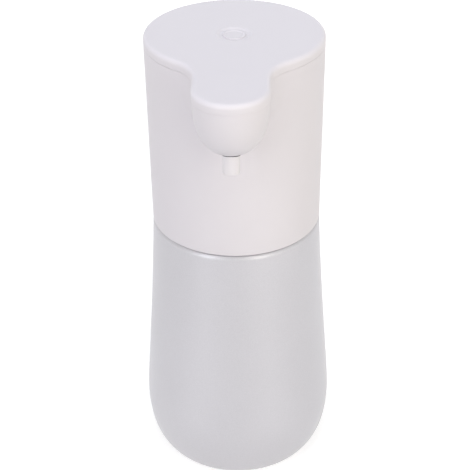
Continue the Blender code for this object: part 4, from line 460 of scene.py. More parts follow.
def noise(tree, place, scale, detail=2.0):
    """The value of a Noise texture."""
    values = {"Vector": place, "Scale": scale, "Detail": detail}
    return add(tree, "ShaderNodeTexNoise", values).outputs["Fac"]


def swing_of(tree, value, amount):
    """A value of 0 to 1 as a swing either way about zero: (value - 0.5) times the amount."""
    return math_node(tree, "MULTIPLY", math_node(tree, "SUBTRACT", value, 0.5), amount)


def new_group(name, *numbers):
    """An empty group: a vector, a colour and numbers in; a colour, a roughness and a height out."""
    tree = bpy.data.node_groups.new(name, "ShaderNodeTree")
    given = [("Vector", "Vector"), ("Colour", "Color"), *((label, "Float") for label in numbers)]
    results = [("Colour", "Color"), ("Roughness", "Float"), ("Height", "Float")]
    for way, sockets in (("INPUT", given), ("OUTPUT", results)):
        for label, kind in sockets:
            tree.interface.new_socket(label, in_out=way, socket_type="NodeSocket" + kind)
    return tree, tree.nodes.new("NodeGroupInput").outputs, tree.nodes.new("NodeGroupOutput")


def end_group(tree, given, end, value, gloss, height):
    """Gives a group its results: its colour scaled by a value, a roughness and a height."""
    shade = add(tree, "ShaderNodeHueSaturation", {"Value": value, "Color": given["Colour"]})
    feed(tree, end, {"Colour": shade.outputs["Color"], "Roughness": gloss, "Height": height})
    return tree


def moulded_grain():
    """Fine spark-eroded grain with slow drifts in shade and gloss.

    The height is a noise of the grain's size plus 0.6 times one five times coarser; the shade and
    the roughness drift with a third noise forty times coarser.
    """
    tree, given, end = new_group("moulded_grain", "Grain per metre", "Drift", "Roughness")
    place, scale = given["Vector"], given["Grain per metre"]
    fine = noise(tree, place, scale, 3.0)
    coarse = noise(tree, place, math_node(tree, "MULTIPLY", scale, 0.2))
    slow = noise(tree, place, math_node(tree, "MULTIPLY", scale, 0.025), 4.0)
    swing = swing_of(tree, slow, given["Drift"])
    return end_group(tree, given, end, math_node(tree, "ADD", swing, 1.0),
                     math_node(tree, "MULTIPLY_ADD", swing, 2.0, given["Roughness"]),
                     math_node(tree, "MULTIPLY_ADD", coarse, 0.6, fine))


def pearl_flake():
    """Metallic flake: small Voronoi cells, each with its own shade and its own slight tilt.

    A cell's random colour gives both: its red the shade and its green the height that tilts it.
    """
    tree, given, end = new_group("pearl_flake", "Flakes per metre", "Sparkle", "Roughness")
    cells = add(tree, "ShaderNodeTexVoronoi",
                {"Vector": given["Vector"], "Scale": given["Flakes per metre"]})
    single = add(tree, "ShaderNodeSeparateColor", {"Color": cells.outputs["Color"]}).outputs
    swing = swing_of(tree, single["Red"], given["Sparkle"])
    drift = swing_of(tree, noise(tree, given["Vector"], 28.0, 3.0), 0.05)
    value = math_node(tree, "ADD", math_node(tree, "ADD", swing, drift), 1.0)
    gloss = math_node(tree, "MULTIPLY_ADD", swing, 0.4, given["Roughness"])
    return end_group(tree, given, end, value, gloss, single["Green"])


def brushed_lines():
    """Fine parallel tool lines: a noise stretched along X and Y, so that it runs round the part."""
    tree, given, end = new_group("brushed_lines", "Lines per metre", "Roughness")
    stretch = add(tree, "ShaderNodeMapping", {"Vector": given["Vector"], "Scale": (0.04, 0.04, 1.0)})
    lines = noise(tree, stretch.outputs["Vector"], given["Lines per metre"], 5.0)
    centred = math_node(tree, "SUBTRACT", lines, 0.5)
    return end_group(tree, given, end, math_node(tree, "MULTIPLY_ADD", centred, 0.5, 1.0),
                     math_node(tree, "MULTIPLY_ADD", centred, 0.35, given["Roughness"]), lines)


def start_material(name, constants=None):
    """A material with a Principled shader, some of its inputs set, and its Object coordinates."""
    material = bpy.data.materials.new(name)
    material.use_nodes = True
    tree = material.node_tree
    shader = feed(tree, tree.nodes["Principled BSDF"], constants or {})
    return material, tree, shader, add(tree, "ShaderNodeTexCoord").outputs["Object"]


def raise_bump(tree, shader, height, distance):
    """Feeds a height to the shader's normal through a Bump node; distance is in metres."""
    bump = add(tree, "ShaderNodeBump", {"Distance": distance, "Height": height})
    feed(tree, shader, {"Normal": bump.outputs["Normal"]})


def two_tones(tree, factor, low, high, end=1.0):
    """A ramp from one grey or colour to another, reached at its end."""
    ramp = add(tree, "ShaderNodeValToRGB", {"Fac": factor})
    ramp.color_ramp.elements[0].color = (*low, 1)
    ramp.color_ramp.elements[1].color = (*high, 1)
    ramp.color_ramp.elements[1].position = end
    return ramp.outputs["Color"]


def foam(name):
    """Open-celled foam: dark pores of a Voronoi pattern, which also dent the surface."""
    material, tree, shader, place = start_material(name, {"Roughness": 0.92})
    pores = add(tree, "ShaderNodeTexVoronoi", {"Scale": 1400.0, "Vector": place}).outputs["Distance"]
    tones = two_tones(tree, pores, (0.006, 0.006, 0.007), (0.050, 0.050, 0.052), 0.6)
    feed(tree, shader, {"Base Color": tones})
    raise_bump(tree, shader, pores, 0.0002)
    return material


def board_lacquer(name):
    """Green circuit board: lighter tracks under the lacquer, from a brick pattern's joints."""
    material, tree, shader, place = start_material(
        name, {"Roughness": 0.42, "Coat Weight": 0.4, "Coat Roughness": 0.15})
    red, green, blue = colours().board
    tracks = add(tree, "ShaderNodeTexBrick", {
        "Vector": place, "Scale": 260.0, "Mortar Size": 0.035,
        "Color1": (red, green, blue, 1), "Color2": (red, green * 0.85, blue, 1),
        "Mortar": (red * 2.5, green * 1.6, blue * 1.6, 1)})
    feed(tree, shader, {"Base Color": tracks.outputs["Color"]})
    raise_bump(tree, shader, tracks.outputs["Fac"], 0.00003)
    return material


def grain(per_metre, drift):
    return {"Grain per metre": per_metre, "Drift": drift}


def lines(per_metre):
    return {"Lines per metre": per_metre}


METAL = {"Metallic": 1.0}
PATTERNED = {"foam": foam, "board_green": board_lacquer}
FINISHES = {
    # group, colour, roughness, height of the bump, the group's settings, the shader's settings
    "white_shell": (moulded_grain, "shell", 0.42, 0.000004, grain(2600.0, 0.03)),
    "white_nozzle": (moulded_grain, "nozzle", 0.28, 0.000003, grain(2600.0, 0.03)),
    # The lid's finish carries the lid's white, which is painted 3 percent lighter than the housing's.
    "white_lid": (moulded_grain, "lid", 0.46, 0.000004, grain(2600.0, 0.03)),
    "pearl_silver": (pearl_flake, "pearl", 0.42, 0.000003, {"Flakes per metre": 5200.0, "Sparkle": 0.10},
                     {"Metallic": 0.6, "Coat Weight": 0.35, "Coat Roughness": 0.28}),
    "black_rubber": (moulded_grain, "rubber", 0.78, 0.00002, grain(1800.0, 0.5)),
    "clear_silicone": (moulded_grain, "silicone", 0.40, 0.000006, grain(900.0, 0.08),
                       {"Subsurface Weight": 0.35, "Subsurface Scale": 0.002}),
    "grey_plastic": (moulded_grain, "frame_grey", 0.52, 0.00001, grain(1500.0, 0.10)),
    "nylon": (moulded_grain, "nylon", 0.44, 0.000008, grain(1300.0, 0.06),
              {"Subsurface Weight": 0.2, "Subsurface Scale": 0.001}),
    "screw_steel": (brushed_lines, "steel", 0.30, 0.000004, lines(9000.0), METAL),
    "motor_metal": (brushed_lines, "motor", 0.34, 0.000005, lines(5000.0), METAL),
    "terminal_brass": (brushed_lines, "brass", 0.32, 0.000004, lines(7000.0), METAL),
    "cell_wrap": (moulded_grain, "wrap", 0.28, 0.00003, grain(350.0, 0.12)),
    "black_sheath": (moulded_grain, "sheath", 0.50, 0.00001, grain(1500.0, 0.3)),
    "dark_lens": (moulded_grain, "lens", 0.10, 0.000002, grain(300.0, 0.2),
                  {"Coat Weight": 0.5, "Coat Roughness": 0.05}),
    "contact_gold": (brushed_lines, "gold", 0.25, 0.000003, lines(9000.0), METAL),
}


def finish(name):
    """The material of a finish, made when it is first asked for."""
    label = name + "_finish"
    if label in bpy.data.materials:
        return bpy.data.materials[label]
    if name in PATTERNED:
        return PATTERNED[name](label)
    maker, colour, roughness, bump, settings, *constants = FINISHES[name]
    tone = (*getattr(colours(), colour), 1.0)
    material, tree, shader, place = start_material(label, *constants)
    group = bpy.data.node_groups.get(maker.__name__) or maker()
    node = add(tree, "ShaderNodeGroup", node_tree=group)
    feed(tree, node, {"Vector": place, "Colour": tone, "Roughness": roughness, **settings})
    feed(tree, shader, {"Base Color": node.outputs["Colour"], "Roughness": node.outputs["Roughness"]})
    raise_bump(tree, shader, node.outputs["Height"], bump)
    material.diffuse_color = tone
    return material


def make_piece(name, shells, body, slot, *nodes, look=None, cutters=(), crease=radians(36)):
    """A finished piece on its body, in place of its CAD nodes.

    Its look is the slot's own finish unless another is named. No crease leaves it flat-shaded.
    """
    piece = mesh_piece(name, shells, finish(look or slot))
    if cutters:
        carve(piece, cutters)
    if crease:
        smooth(piece, crease)
    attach(piece, body)
    if nodes:
        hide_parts(*nodes)


def plan(head, half, fillet, back=132, side=22, straight=8, nose=64):
    """The head seen from above, as one closed loop of points.

    A circle of the head's radius, a concave arc of the fillet's radius on each side, two
    straight sides at half the spout's width, and a half circle for its nose.
    """
    side_x = half + fillet
    side_y = -sqrt((head + fillet) ** 2 - side_x ** 2)
    turn = atan2(side_y, side_x)
    return np.concatenate((
        arc((0, 0), head, turn, pi - turn, back)[:-1],
        arc((-side_x, side_y), fillet, -turn, 0, side)[:-1],
        line((-half, side_y), (-half, NOSE_Y), straight)[:-1],
        arc((0, NOSE_Y), half, pi, 2 * pi, nose)[:-1],
        line((half, NOSE_Y), (half, side_y), straight)[:-1],
        arc((side_x, side_y), fillet, pi, pi + turn, side)[:-1]))


def round_plan(head, half, fillet, back=132):
    """The round body alone, with as many points as the head's plan and the same back."""
    side_x = half + fillet
    turn = atan2(-sqrt((head + fillet) ** 2 - side_x ** 2), side_x)
    count = len(plan(head, half, fillet))
    behind = arc((0, 0), head, turn, pi - turn, back)[:-1]
    front = arc((0, 0), head, pi - turn, 2 * pi + turn, count - back)[:-1]
    return np.concatenate((behind, front))


def at_height(outline, height):
    """A level ring of points at one height or at a height for each point."""
    return np.column_stack((outline, np.broadcast_to(height, len(outline))))


def spout_levels(inset, steps, straight=0.0):
    """Half width, height and fillet of the spout at each level, from its flat bottom up.

    The half width is the widest times the cosine of an angle to the power 2 / SPOUT_POWER, and the
    depth below the top is the full depth times the sine to the same power: a superellipse.
    """
    widest = SPOUT_HALF_WIDTH - SPOUT_INSET - inset
    top = HOUSING_TOP - straight
    depth = top - SPOUT_BOTTOM - inset
    flat = SPOUT_FLAT - inset / 2
    lowest = acos((flat / widest) ** (SPOUT_POWER / 2))
    angle = lowest * (1 - np.linspace(0, 1, steps + 1))
    width = widest * np.cos(angle) ** (2 / SPOUT_POWER)
    height = top - depth * (np.sin(angle) / sin(lowest)) ** (2 / SPOUT_POWER)
    share = (width - flat) / (widest - flat)
    return width, height, DOME_FILLET + (SHOULDER_FILLET - DOME_FILLET) * share + inset


def head_wall(inset, steps, fillet_steps, root_fillet, base, straight=0.0):
    """The rings of one wall of the housing, from its base to the foot of its upper rim.

    The round body rises to the spout's root, turns outward there through a concave fillet, runs
    out along the flat bottom, and climbs the dome level by level.
    """
    head = HEAD_RADIUS - inset
    width, height, fillet = spout_levels(inset, steps, straight)
    body = round_plan(head, width[0], fillet[0])
    first = plan(head, width[0], fillet[0])
    travel = first - body
    reach = np.linalg.norm(travel, axis=1)
    way = travel / np.maximum(reach, 1e-9)[:, None]
    bend = np.minimum(root_fillet, 0.6 * reach)
    bottom = height[0]
    rings = [at_height(body, z) for z in np.linspace(base, bottom - SPOUT_ROOT_DROP - root_fillet, 9)]
    for share in np.linspace(0, 1, fillet_steps + 1)[1:]:
        swing = share * pi / 2
        out = bend * (1 - cos(swing))
        root = bottom - SPOUT_ROOT_DROP * (1 - out / np.maximum(reach, root_fillet)) ** 2
        z = root - root_fillet * (1 - sin(swing))
        rings.append(at_height(body + way * out[:, None], z))
    for share in (0.25, 0.5, 0.75):
        out = bend + (reach - bend) * share
        z = bottom - SPOUT_ROOT_DROP * (1 - out / np.maximum(reach, root_fillet)) ** 2
        rings.append(at_height(body + way * out[:, None], z))
    for w, z, f in zip(width, height, fillet):
        rings.append(at_height(plan(head, w, f), z))
    if straight:
        rings.append(at_height(plan(head, width[-1], fillet[-1]), HOUSING_TOP))
    return rings


def slot_outline(half_width, half_height, steps=24):
    """A loop with fully rounded ends, as (x, z) points."""
    middle = half_width - half_height
    right = arc((middle, 0), half_height, -pi / 2, pi / 2, steps)
    left = arc((-middle, 0), half_height, pi / 2, 3 * pi / 2, steps)
    return np.concatenate((right, left))


def slot_ring(half_width, half_height, y):
    """A slot's loop stood up at the back of the head, at a distance or a distance for each point."""
    outline = slot_outline(half_width, half_height)
    return np.column_stack((outline[:, 0], np.broadcast_to(y, len(outline)), outline[:, 1] + SOCKET_Z))


def capped(rings):
    """A stack of rings with each end closed by a pole at its ring's middle."""
    first = np.broadcast_to(rings[0].mean(0), rings[0].shape)
    last = np.broadcast_to(rings[-1].mean(0), rings[-1].shape)
    return np.stack([first, *rings, last])


def bottle_side(belly, foot, base, shoulder, top, corner_steps, flare_steps):
    """The bottle's side: one Bezier curve round the lower corner and one up the flare."""
    corner = [(foot, base), (foot + (belly - foot) * CORNER_OUT, base),
              (belly, base + (BELLY_HEIGHT - base) * (1 - CORNER_UP)), (belly, BELLY_HEIGHT)]
    rise = top - BELLY_HEIGHT
    flare = [(belly, BELLY_HEIGHT), (belly, BELLY_HEIGHT + FLARE_RISE * rise),
             (shoulder + FLARE_LEAN * FLARE_DROP * rise, top - FLARE_DROP * rise), (shoulder, top)]
    return np.concatenate((bezier(corner, corner_steps), bezier(flare, flare_steps)[1:]))


def thread_ridge(root, depth, start):
    """A trapezoid carried up a helix: it rises by the lead each turn and fades at both ends."""
    turns = np.linspace(0, THREAD_TURNS, 260)[:, None]
    angle = 2 * pi * turns
    fade = np.clip(np.minimum(turns, THREAD_TURNS - turns) / THREAD_FADE, 0, 1)
    fade = fade * fade * (3 - 2 * fade)
    section = rounded([(-THREAD_SUNK, -THREAD_ROOT / 2, 0), (0.0, -THREAD_ROOT / 2, 0),
                       (depth, -THREAD_CREST / 2, 0.0002), (depth, THREAD_CREST / 2, 0.0002),
                       (0.0, THREAD_ROOT / 2, 0), (-THREAD_SUNK, THREAD_ROOT / 2, 0)])
    out = section[None, :, 0]
    radius = root + np.where(out > 0, out * fade, out)
    height = start + THREAD_LEAD * turns + section[None, :, 1]
    return capped(np.stack((radius * np.cos(angle), radius * np.sin(angle), height), -1))


class DispenserPart:
    """What every operator here shares."""
    bl_options = {"REGISTER", "UNDO"}


class DISPENSER_OT_bottle(DispenserPart, bpy.types.Operator):
    """Make the bottle: one profile turned round the axis, and the thread's ridge on its neck"""
    bl_idname = "dispenser.bottle"
    bl_label = "Bottle"

    def execute(self, context):
        recess = PAD_HIGH.z + SEAT_GAP
        pad = PAD_HIGH.x + SEAT_GAP
        floor = recess + BOTTLE_WALL
        top = HOUSING_BASE - sizes().seam_gap
        turn = sizes().shoulder_round
        side_top = top - turn
        under = SHOULDER_TOP - BOTTLE_WALL
        outer = np.concatenate((
            line((0, recess), (pad - 0.0003, recess), 6),
            line((pad, recess - 0.0003), (pad, PAD_PROUD + 0.0003), 2),
            line((pad + 0.0003, PAD_PROUD), (FOOT_RADIUS, PAD_PROUD), 3)[:-1],
            bottle_side(BELLY_RADIUS, FOOT_RADIUS, PAD_PROUD, SHOULDER_RADIUS, side_top, 28, 72),
            arc((SHOULDER_RADIUS - turn, side_top), turn, 0, pi / 2, 10)[1:],
            rounded([(SHOULDER_RADIUS - turn, top, 0), (NECK_RADIUS, top, 0.0005),
                     (NECK_RADIUS, NECK_TOP, 0.0006), (NECK_BORE, NECK_TOP, 0.0004),
                     (NECK_BORE, under, 0.0003), (SHOULDER_RADIUS - BOTTLE_WALL, under, 0)],
                    closed=False)[1:-1],
            bottle_side(BELLY_RADIUS - BOTTLE_WALL, FOOT_RADIUS - BOTTLE_WALL, floor,
                        SHOULDER_RADIUS - BOTTLE_WALL, under, 12, 24)[::-1],
            line((FOOT_RADIUS - BOTTLE_WALL - 0.002, floor), (0, floor), 4)))
        ridge = thread_ridge(NECK_RADIUS, THREAD_DEPTH, SHOULDER_TOP + THREAD_START)
        make_piece("bottle_surface", [shell(revolve(outer, 224)), shell(ridge)],
                   "bottle", "pearl_silver", "bottle")
        return {"FINISHED"}


class DISPENSER_OT_foot_pad(DispenserPart, bpy.types.Operator):
    """Make the foot pad: a disc with rounded edges and shallow ring grooves underneath"""
    bl_idname = "dispenser.foot_pad"
    bl_label = "Foot pad"

    def execute(self, context):
        edge = PAD_HIGH.x
        radius = np.linspace(0, edge - 0.0010, 160)
        wave = np.sin(2 * pi * radius / GROOVE_PITCH)
        groove = GROOVE_DEPTH * np.clip(wave * 2.2 - 1.0, 0, 1) * (radius > GROOVE_START)
        under = np.column_stack((radius, groove))
        side = rounded([(edge - 0.0009, 0, 0), (edge, 0, 0.0004), (edge, PAD_HIGH.z, 0.0002),
                        (0, PAD_HIGH.z, 0)], closed=False)
        make_piece("foot_pad_surface", [shell(revolve(np.concatenate((under, side)), 160))],
                   "bottle", "black_rubber", "foot_pad")
        return {"FINISHED"}


class DISPENSER_OT_neck_gasket(DispenserPart, bpy.types.Operator):
    """Make the neck gasket: a flat ring with rounded edges and a bead on its upper face"""
    bl_idname = "dispenser.neck_gasket"
    bl_label = "Neck gasket"

    def execute(self, context):
        low, high, outer = GASKET_LOW.z, GASKET_HIGH.z, GASKET_HIGH.x
        inner = NECK_BORE + GASKET_PLAY
        middle = (inner + outer) / 2
        face = high - BEAD_HEIGHT
        section = rounded([(inner, low, 0.0003), (outer, low, 0.0003), (outer, face, 0.0003),
                           (middle + BEAD_HALF_WIDTH, face, 0.0001), (middle, high, 0.0003),
                           (middle - BEAD_HALF_WIDTH, face, 0.0001), (inner, face, 0.0003)])
        make_piece("neck_gasket_surface", [shell(revolve(section, 160), ring=True)],
                   "gasket", "clear_silicone", "neck_gasket")
        return {"FINISHED"}


class DISPENSER_OT_housing(DispenserPart, bpy.types.Operator):
    """Make the housing: the round wall that grows the domed spout, with its holes cut"""
    bl_idname = "dispenser.housing"
    bl_label = "Housing"

    def execute(self, context):
        step = sizes().rim_break
        outer = head_wall(0, 44, 8, sizes().root_fillet, HOUSING_BASE + step)
        inner = head_wall(HOUSING_WALL, 14, 3, INNER_FILLET, HOUSING_BASE + step, LIP_DEPTH + SEAT_GAP)
        width, _, fillet = spout_levels(0, 1)
        outer[-1][:, 2] -= step
        rim, foot = [], []
        for share in np.linspace(0, 1, 5)[1:]:
            inset, drop = step * (1 - cos(share * pi / 2)), step * (1 - sin(share * pi / 2))
            rim.append(at_height(plan(HEAD_RADIUS - inset, width[-1] - inset, fillet[-1] + inset),
                                 HOUSING_TOP - drop))
            foot.append(at_height(round_plan(HEAD_RADIUS - inset, width[0], fillet[0]),
                                  HOUSING_BASE + drop))
        rings = foot[::-1] + outer + rim + inner[::-1]
        bore = HEAD_RADIUS - HOUSING_WALL
        rings.append(at_height(round_plan(bore, width[0], fillet[0]), HOUSING_BASE))
        make_piece("housing_surface", [shell(np.stack(rings), ring=True)],
                   "head", "white_shell", "housing", cutters=self.cutters(bore), crease=radians(32))
        return {"FINISHED"}

    def cutters(self, bore):
        """The port, its seat, and the nozzle's and the window's holes, each a closed shell."""
        port = [slot_ring(PORT_WIDTH / 2, PORT_HEIGHT / 2, y)
                for y in (bore - 0.001, HEAD_RADIUS + 0.001)]
        seat = [slot_ring(PORT_WIDTH / 2 + PORT_RIM + grow, PORT_HEIGHT / 2 + PORT_RIM + grow, y)
                for grow, y in ((0, HEAD_RADIUS - PORT_RIM_DEPTH), (0, HEAD_RADIUS - 0.0002),
                                (0.0002, HEAD_RADIUS), (0.0012, HEAD_RADIUS + 0.001))]
        low, high = SPOUT_BOTTOM - 0.001, SPOUT_BOTTOM + HOUSING_WALL + 0.001
        hole = NOZZLE_HALF_WIDTH + HOLE_PLAY
        nozzle = [(0, low), (hole, low), (hole, high), (0, high)]
        window = [(0, low), (WINDOW_HOLE, low), (WINDOW_HOLE, high), (0, high)]
        return [shell(capped(port)), shell(capped(seat)),
                shell(oblong(revolve(np.array(nozzle), 96, (0, NOSE_Y)), high + 0.001)),
                shell(revolve(np.array(window), 72, (0, WINDOW_Y)))]


class DISPENSER_OT_top_cover(DispenserPart, bpy.types.Operator):
    """Make the lid: rings from the button's hole over the dish and the flat to the rounded edge"""
    bl_idname = "dispenser.top_cover"
    bl_label = "Top cover"

    def execute(self, context):
        top = TOTAL_HEIGHT
        under = top - COVER_PLATE
        turn = sizes().lid_round
        step = sizes().rim_break
        outline = self.outline(turn)
        angle = np.unwrap(np.arctan2(outline[:, 1] - BUTTON_Y, outline[:, 0]))

        def circle(radius, height):
            level = np.column_stack((radius * np.cos(angle), BUTTON_Y + radius * np.sin(angle)))
            return at_height(level, height)

        hole = BUTTON_CAP + BUTTON_GAP
        dish, floor = sizes().dish_radius, top - sizes().dish_depth
        bowl = rounded([(hole, under, 0), (hole, floor, 0.00006),
                        (dish - DISH_SLOPE, floor, DISH_BLEND), (dish, top, DISH_BLEND),
                        (dish + DISH_LIP, top, 0)], steps=6, closed=False)
        rings = [circle(radius, height) for radius, height in bowl]
        edge = rings[-1]
        rings += [edge * (1 - s) + at_height(outline, top) * s for s in np.linspace(0, 1, 10)[1:]]
        for swing in np.linspace(0, pi / 2, 13)[1:]:
            rings.append(at_height(self.outline(turn * (1 - sin(swing))), top - turn * (1 - cos(swing))))
        base = HOUSING_TOP + LID_HAIRLINE
        rings.append(at_height(self.outline(0), base + step))
        for swing in np.linspace(0, pi / 2, 4)[1:]:
            inset, rise = step * (1 - cos(swing)), step * (1 - sin(swing))
            rings.append(at_height(self.outline(inset), base + rise))
        lip = HOUSING_WALL + SPOUT_INSET + SEAT_GAP
        foot = COVER_BASE - LIP_DEPTH
        for inset, height in ((lip, base), (lip, foot + LIP_BEVEL), (lip + LIP_BEVEL, foot),
                              (lip + LIP_WALL, foot), (lip + LIP_WALL, under)):
            rings.append(at_height(self.outline(inset), height))
        guide = BUTTON_HIGH.x + SEAT_GAP
        for radius, height in ((guide + GUIDE_WALL, under), (guide + GUIDE_WALL, under - GUIDE_DEPTH),
                               (guide, under - GUIDE_DEPTH), (guide, under)):
            rings.append(circle(radius, height))
        bosses = []
        for turn_to in BOSS_TURNS:
            centre = (BOSS_CIRCLE * cos(turn_to), BOSS_CIRCLE * sin(turn_to))
            low, high = under - BOSS_DEPTH, under + 0.0005
            section = np.array(((BOSS_RADIUS, low), (BOSS_RADIUS, high),
                                (BOSS_BORE, high), (BOSS_BORE, low)))
            bosses.append(shell(revolve(section, 40, centre), ring=True))
        make_piece("top_cover_surface", [shell(np.stack(rings), ring=True), *bosses],
                   "head", "white_lid", "top_cover", crease=radians(32))
        return {"FINISHED"}

    @staticmethod
    def outline(inset):
        """The lid's plan, drawn in by the inset."""
        return plan(HEAD_RADIUS - inset, SPOUT_HALF_WIDTH - inset, SHOULDER_FILLET + inset)


class DISPENSER_OT_power_button(DispenserPart, bpy.types.Operator):
    """Make the button: a turned cap with a rounded rim round a sunk face, a flange and a stem"""
    bl_idname = "dispenser.power_button"
    bl_label = "Power button"

    def execute(self, context):
        low, top = BUTTON_LOW.z, TOTAL_HEIGHT - sizes().dish_depth + sizes().button_rim
        cap, flange = BUTTON_CAP, BUTTON_HIGH.x
        flange_top = TOTAL_HEIGHT - COVER_PLATE - SEAT_GAP
        rim, crest = sizes().button_rim, cap - BUTTON_RIM_WIDTH
        side = cap - (cap - crest) * (1 - np.cos(np.linspace(0, pi / 2, 7)))
        crown = np.column_stack((side, top - rim + rim * np.sin(np.linspace(0, pi / 2, 7))))
        share = np.linspace(0, 1, 9)[1:]
        slope = np.column_stack((crest - BUTTON_SLOPE * share,
                                 top - sizes().button_sunk * share ** 2 * (3 - 2 * share)))
        face = np.column_stack((np.linspace(slope[-1, 0], 0, 12)[1:], np.full(11, slope[-1, 1])))
        profile = np.concatenate((
            rounded([(0, low, 0), (STEM_RADIUS, low, 0.0002),
                     (STEM_RADIUS, flange_top - BUTTON_FLANGE, 0),
                     (flange, flange_top - BUTTON_FLANGE, 0.0002), (flange, flange_top, 0.0002),
                     (cap, flange_top, 0.0001), (cap, top - rim, 0)], steps=3, closed=False)[:-1],
            crown, slope, face))
        make_piece("power_button_surface", [shell(revolve(profile, 128, (0, BUTTON_Y)))],
                   "button", "white_lid", "power_button")
        return {"FINISHED"}


class DISPENSER_OT_nozzle(DispenserPart, bpy.types.Operator):
    """Make the nozzle: an oblong spout with a rounded tip and a mouth, on a round flange and barb"""
    bl_idname = "dispenser.nozzle"
    bl_label = "Nozzle"

    def execute(self, context):
        tip, radius = NOZZLE_TIP - NOZZLE_LONGER, NOZZLE_HALF_WIDTH
        flange = SPOUT_BOTTOM + HOUSING_WALL + SEAT_GAP
        barb, roof = flange + NOZZLE_FLANGE, tip + NOZZLE_MOUTH_DEPTH
        section = rounded([
            (NOZZLE_BORE, NOZZLE_HIGH.z, 0.0001), (NOZZLE_BORE, roof, 0.0002),
            (NOZZLE_MOUTH, roof, 0.0002), (NOZZLE_MOUTH, tip, 0.0003),
            (radius, tip, 0.0006), (radius, flange, 0.0001),
            (NOZZLE_FLANGE_RADIUS, flange, 0.0002), (NOZZLE_FLANGE_RADIUS, barb, 0.0002),
            (BARB_RADIUS, barb, 0.0001), (BARB_RADIUS, barb + 0.0020, 0),
            (BARB_WAIST, barb + 0.0021, 0), (BARB_RADIUS, barb + 0.0036, 0),
            (BARB_WAIST, barb + 0.0037, 0), (BARB_END, NOZZLE_HIGH.z, 0.0001)])
        grid = oblong(revolve(section, 96, (0, NOSE_Y)), flange - 0.0002)
        make_piece("nozzle_surface", [shell(grid, ring=True)], "head", "white_shell", "nozzle",
                   look="white_nozzle")
        return {"FINISHED"}


class DISPENSER_OT_nozzle_ring(DispenserPart, bpy.types.Operator):
    """Make the ring at the nozzle's root: a rounded section carried round the nozzle, black as painted
    shade for the shadow gap under the spout
    """
    bl_idname = "dispenser.nozzle_ring"
    bl_label = "Nozzle ring"

    def execute(self, context):
        low, high = (corner.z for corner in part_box("nozzle_ring"))
        low -= SHADE_RING_LONGER
        inner, outer = NOZZLE_HALF_WIDTH + HOLE_PLAY, RING_HALF_WIDTH
        section = rounded([(inner, low, 0.0001), (outer, low, 0.0002), (outer, high, 0.0001),
                           (inner, high, 0.0001)])
        grid = oblong(revolve(section, 96, (0, NOSE_Y)), SPOUT_BOTTOM + HOUSING_WALL)
        # Black rubber here is painted shade: it stands for the dark shadow gap where the nozzle leaves
        # the spout.
        make_piece("nozzle_shade_ring_surface", [shell(grid, ring=True)],
                   "head", "black_rubber", "nozzle_ring")
        return {"FINISHED"}


class DISPENSER_OT_sensor_window(DispenserPart, bpy.types.Operator):
    """Make the sensor window: a flat dark lens with a soft edge and a flange inside the spout"""
    bl_idname = "dispenser.sensor_window"
    bl_label = "Sensor window"

    def execute(self, context):
        low, high = WINDOW_LOW.z, WINDOW_HIGH.z
        flange = high - WINDOW_FLANGE
        profile = rounded([(0, low + 0.00008, 0), (0.0030, low + 0.00002, 0.0004),
                           (WINDOW_RADIUS, low, 0.0002), (WINDOW_RADIUS, flange, 0),
                           (WINDOW_FLANGE_RADIUS, flange, 0.0002), (WINDOW_FLANGE_RADIUS, high, 0.0002),
                           (0, high, 0)], closed=False)
        make_piece("sensor_window_surface", [shell(revolve(profile, 96, (0, WINDOW_Y)))],
                   "head", "dark_lens", "sensor_window")
        return {"FINISHED"}


class DISPENSER_OT_port_plug(DispenserPart, bpy.types.Operator):
    """Make the port's plug: slot-shaped rings whose face follows the housing, with a nail notch"""
    bl_idname = "dispenser.port_plug"
    bl_label = "Port plug"

    def execute(self, context):
        bore = HEAD_RADIUS - HOUSING_WALL
        wide, tall = PORT_WIDTH / 2, PORT_HEIGHT / 2
        seat = HEAD_RADIUS - PORT_RIM_DEPTH + SEAT_GAP
        rim = PORT_RIM - 0.0002
        rings = [slot_ring(wide - gap, tall - gap, y)
                 for gap, y in ((0.0012, bore), (0.0006, bore), (0.0003, bore + 0.0003), (0.0003, seat))]
        rings += [slot_ring(wide + rim - gap, tall + rim - gap, y)
                  for gap, y in ((0.0002, seat), (0.0, seat + 0.0002))]
        for gap in (0.0, 0.0001, 0.0003, 0.0006, 0.0010, 0.0016, 0.0022, 0.0028, 0.0033):
            ring = slot_ring(wide + rim - gap, tall + rim - gap, 0.0)
            share = 1 - min(gap, PLUG_SOFT_EDGE) / PLUG_SOFT_EDGE
            soft = PLUG_SOFT_EDGE - PLUG_SOFT_EDGE * sqrt(1 - share ** 2)
            notch = NOTCH_DEPTH * np.exp(-((ring[:, 0] - NOTCH_X) / 0.0012) ** 2
                                         - ((ring[:, 2] - SOCKET_Z) / 0.0016) ** 2)
            ring[:, 1] = np.sqrt(HEAD_RADIUS ** 2 - ring[:, 0] ** 2) - soft - notch
            rings.append(ring)
        make_piece("port_plug_surface", [shell(capped(rings))], "plug", "white_shell", "port_plug")
        return {"FINISHED"}


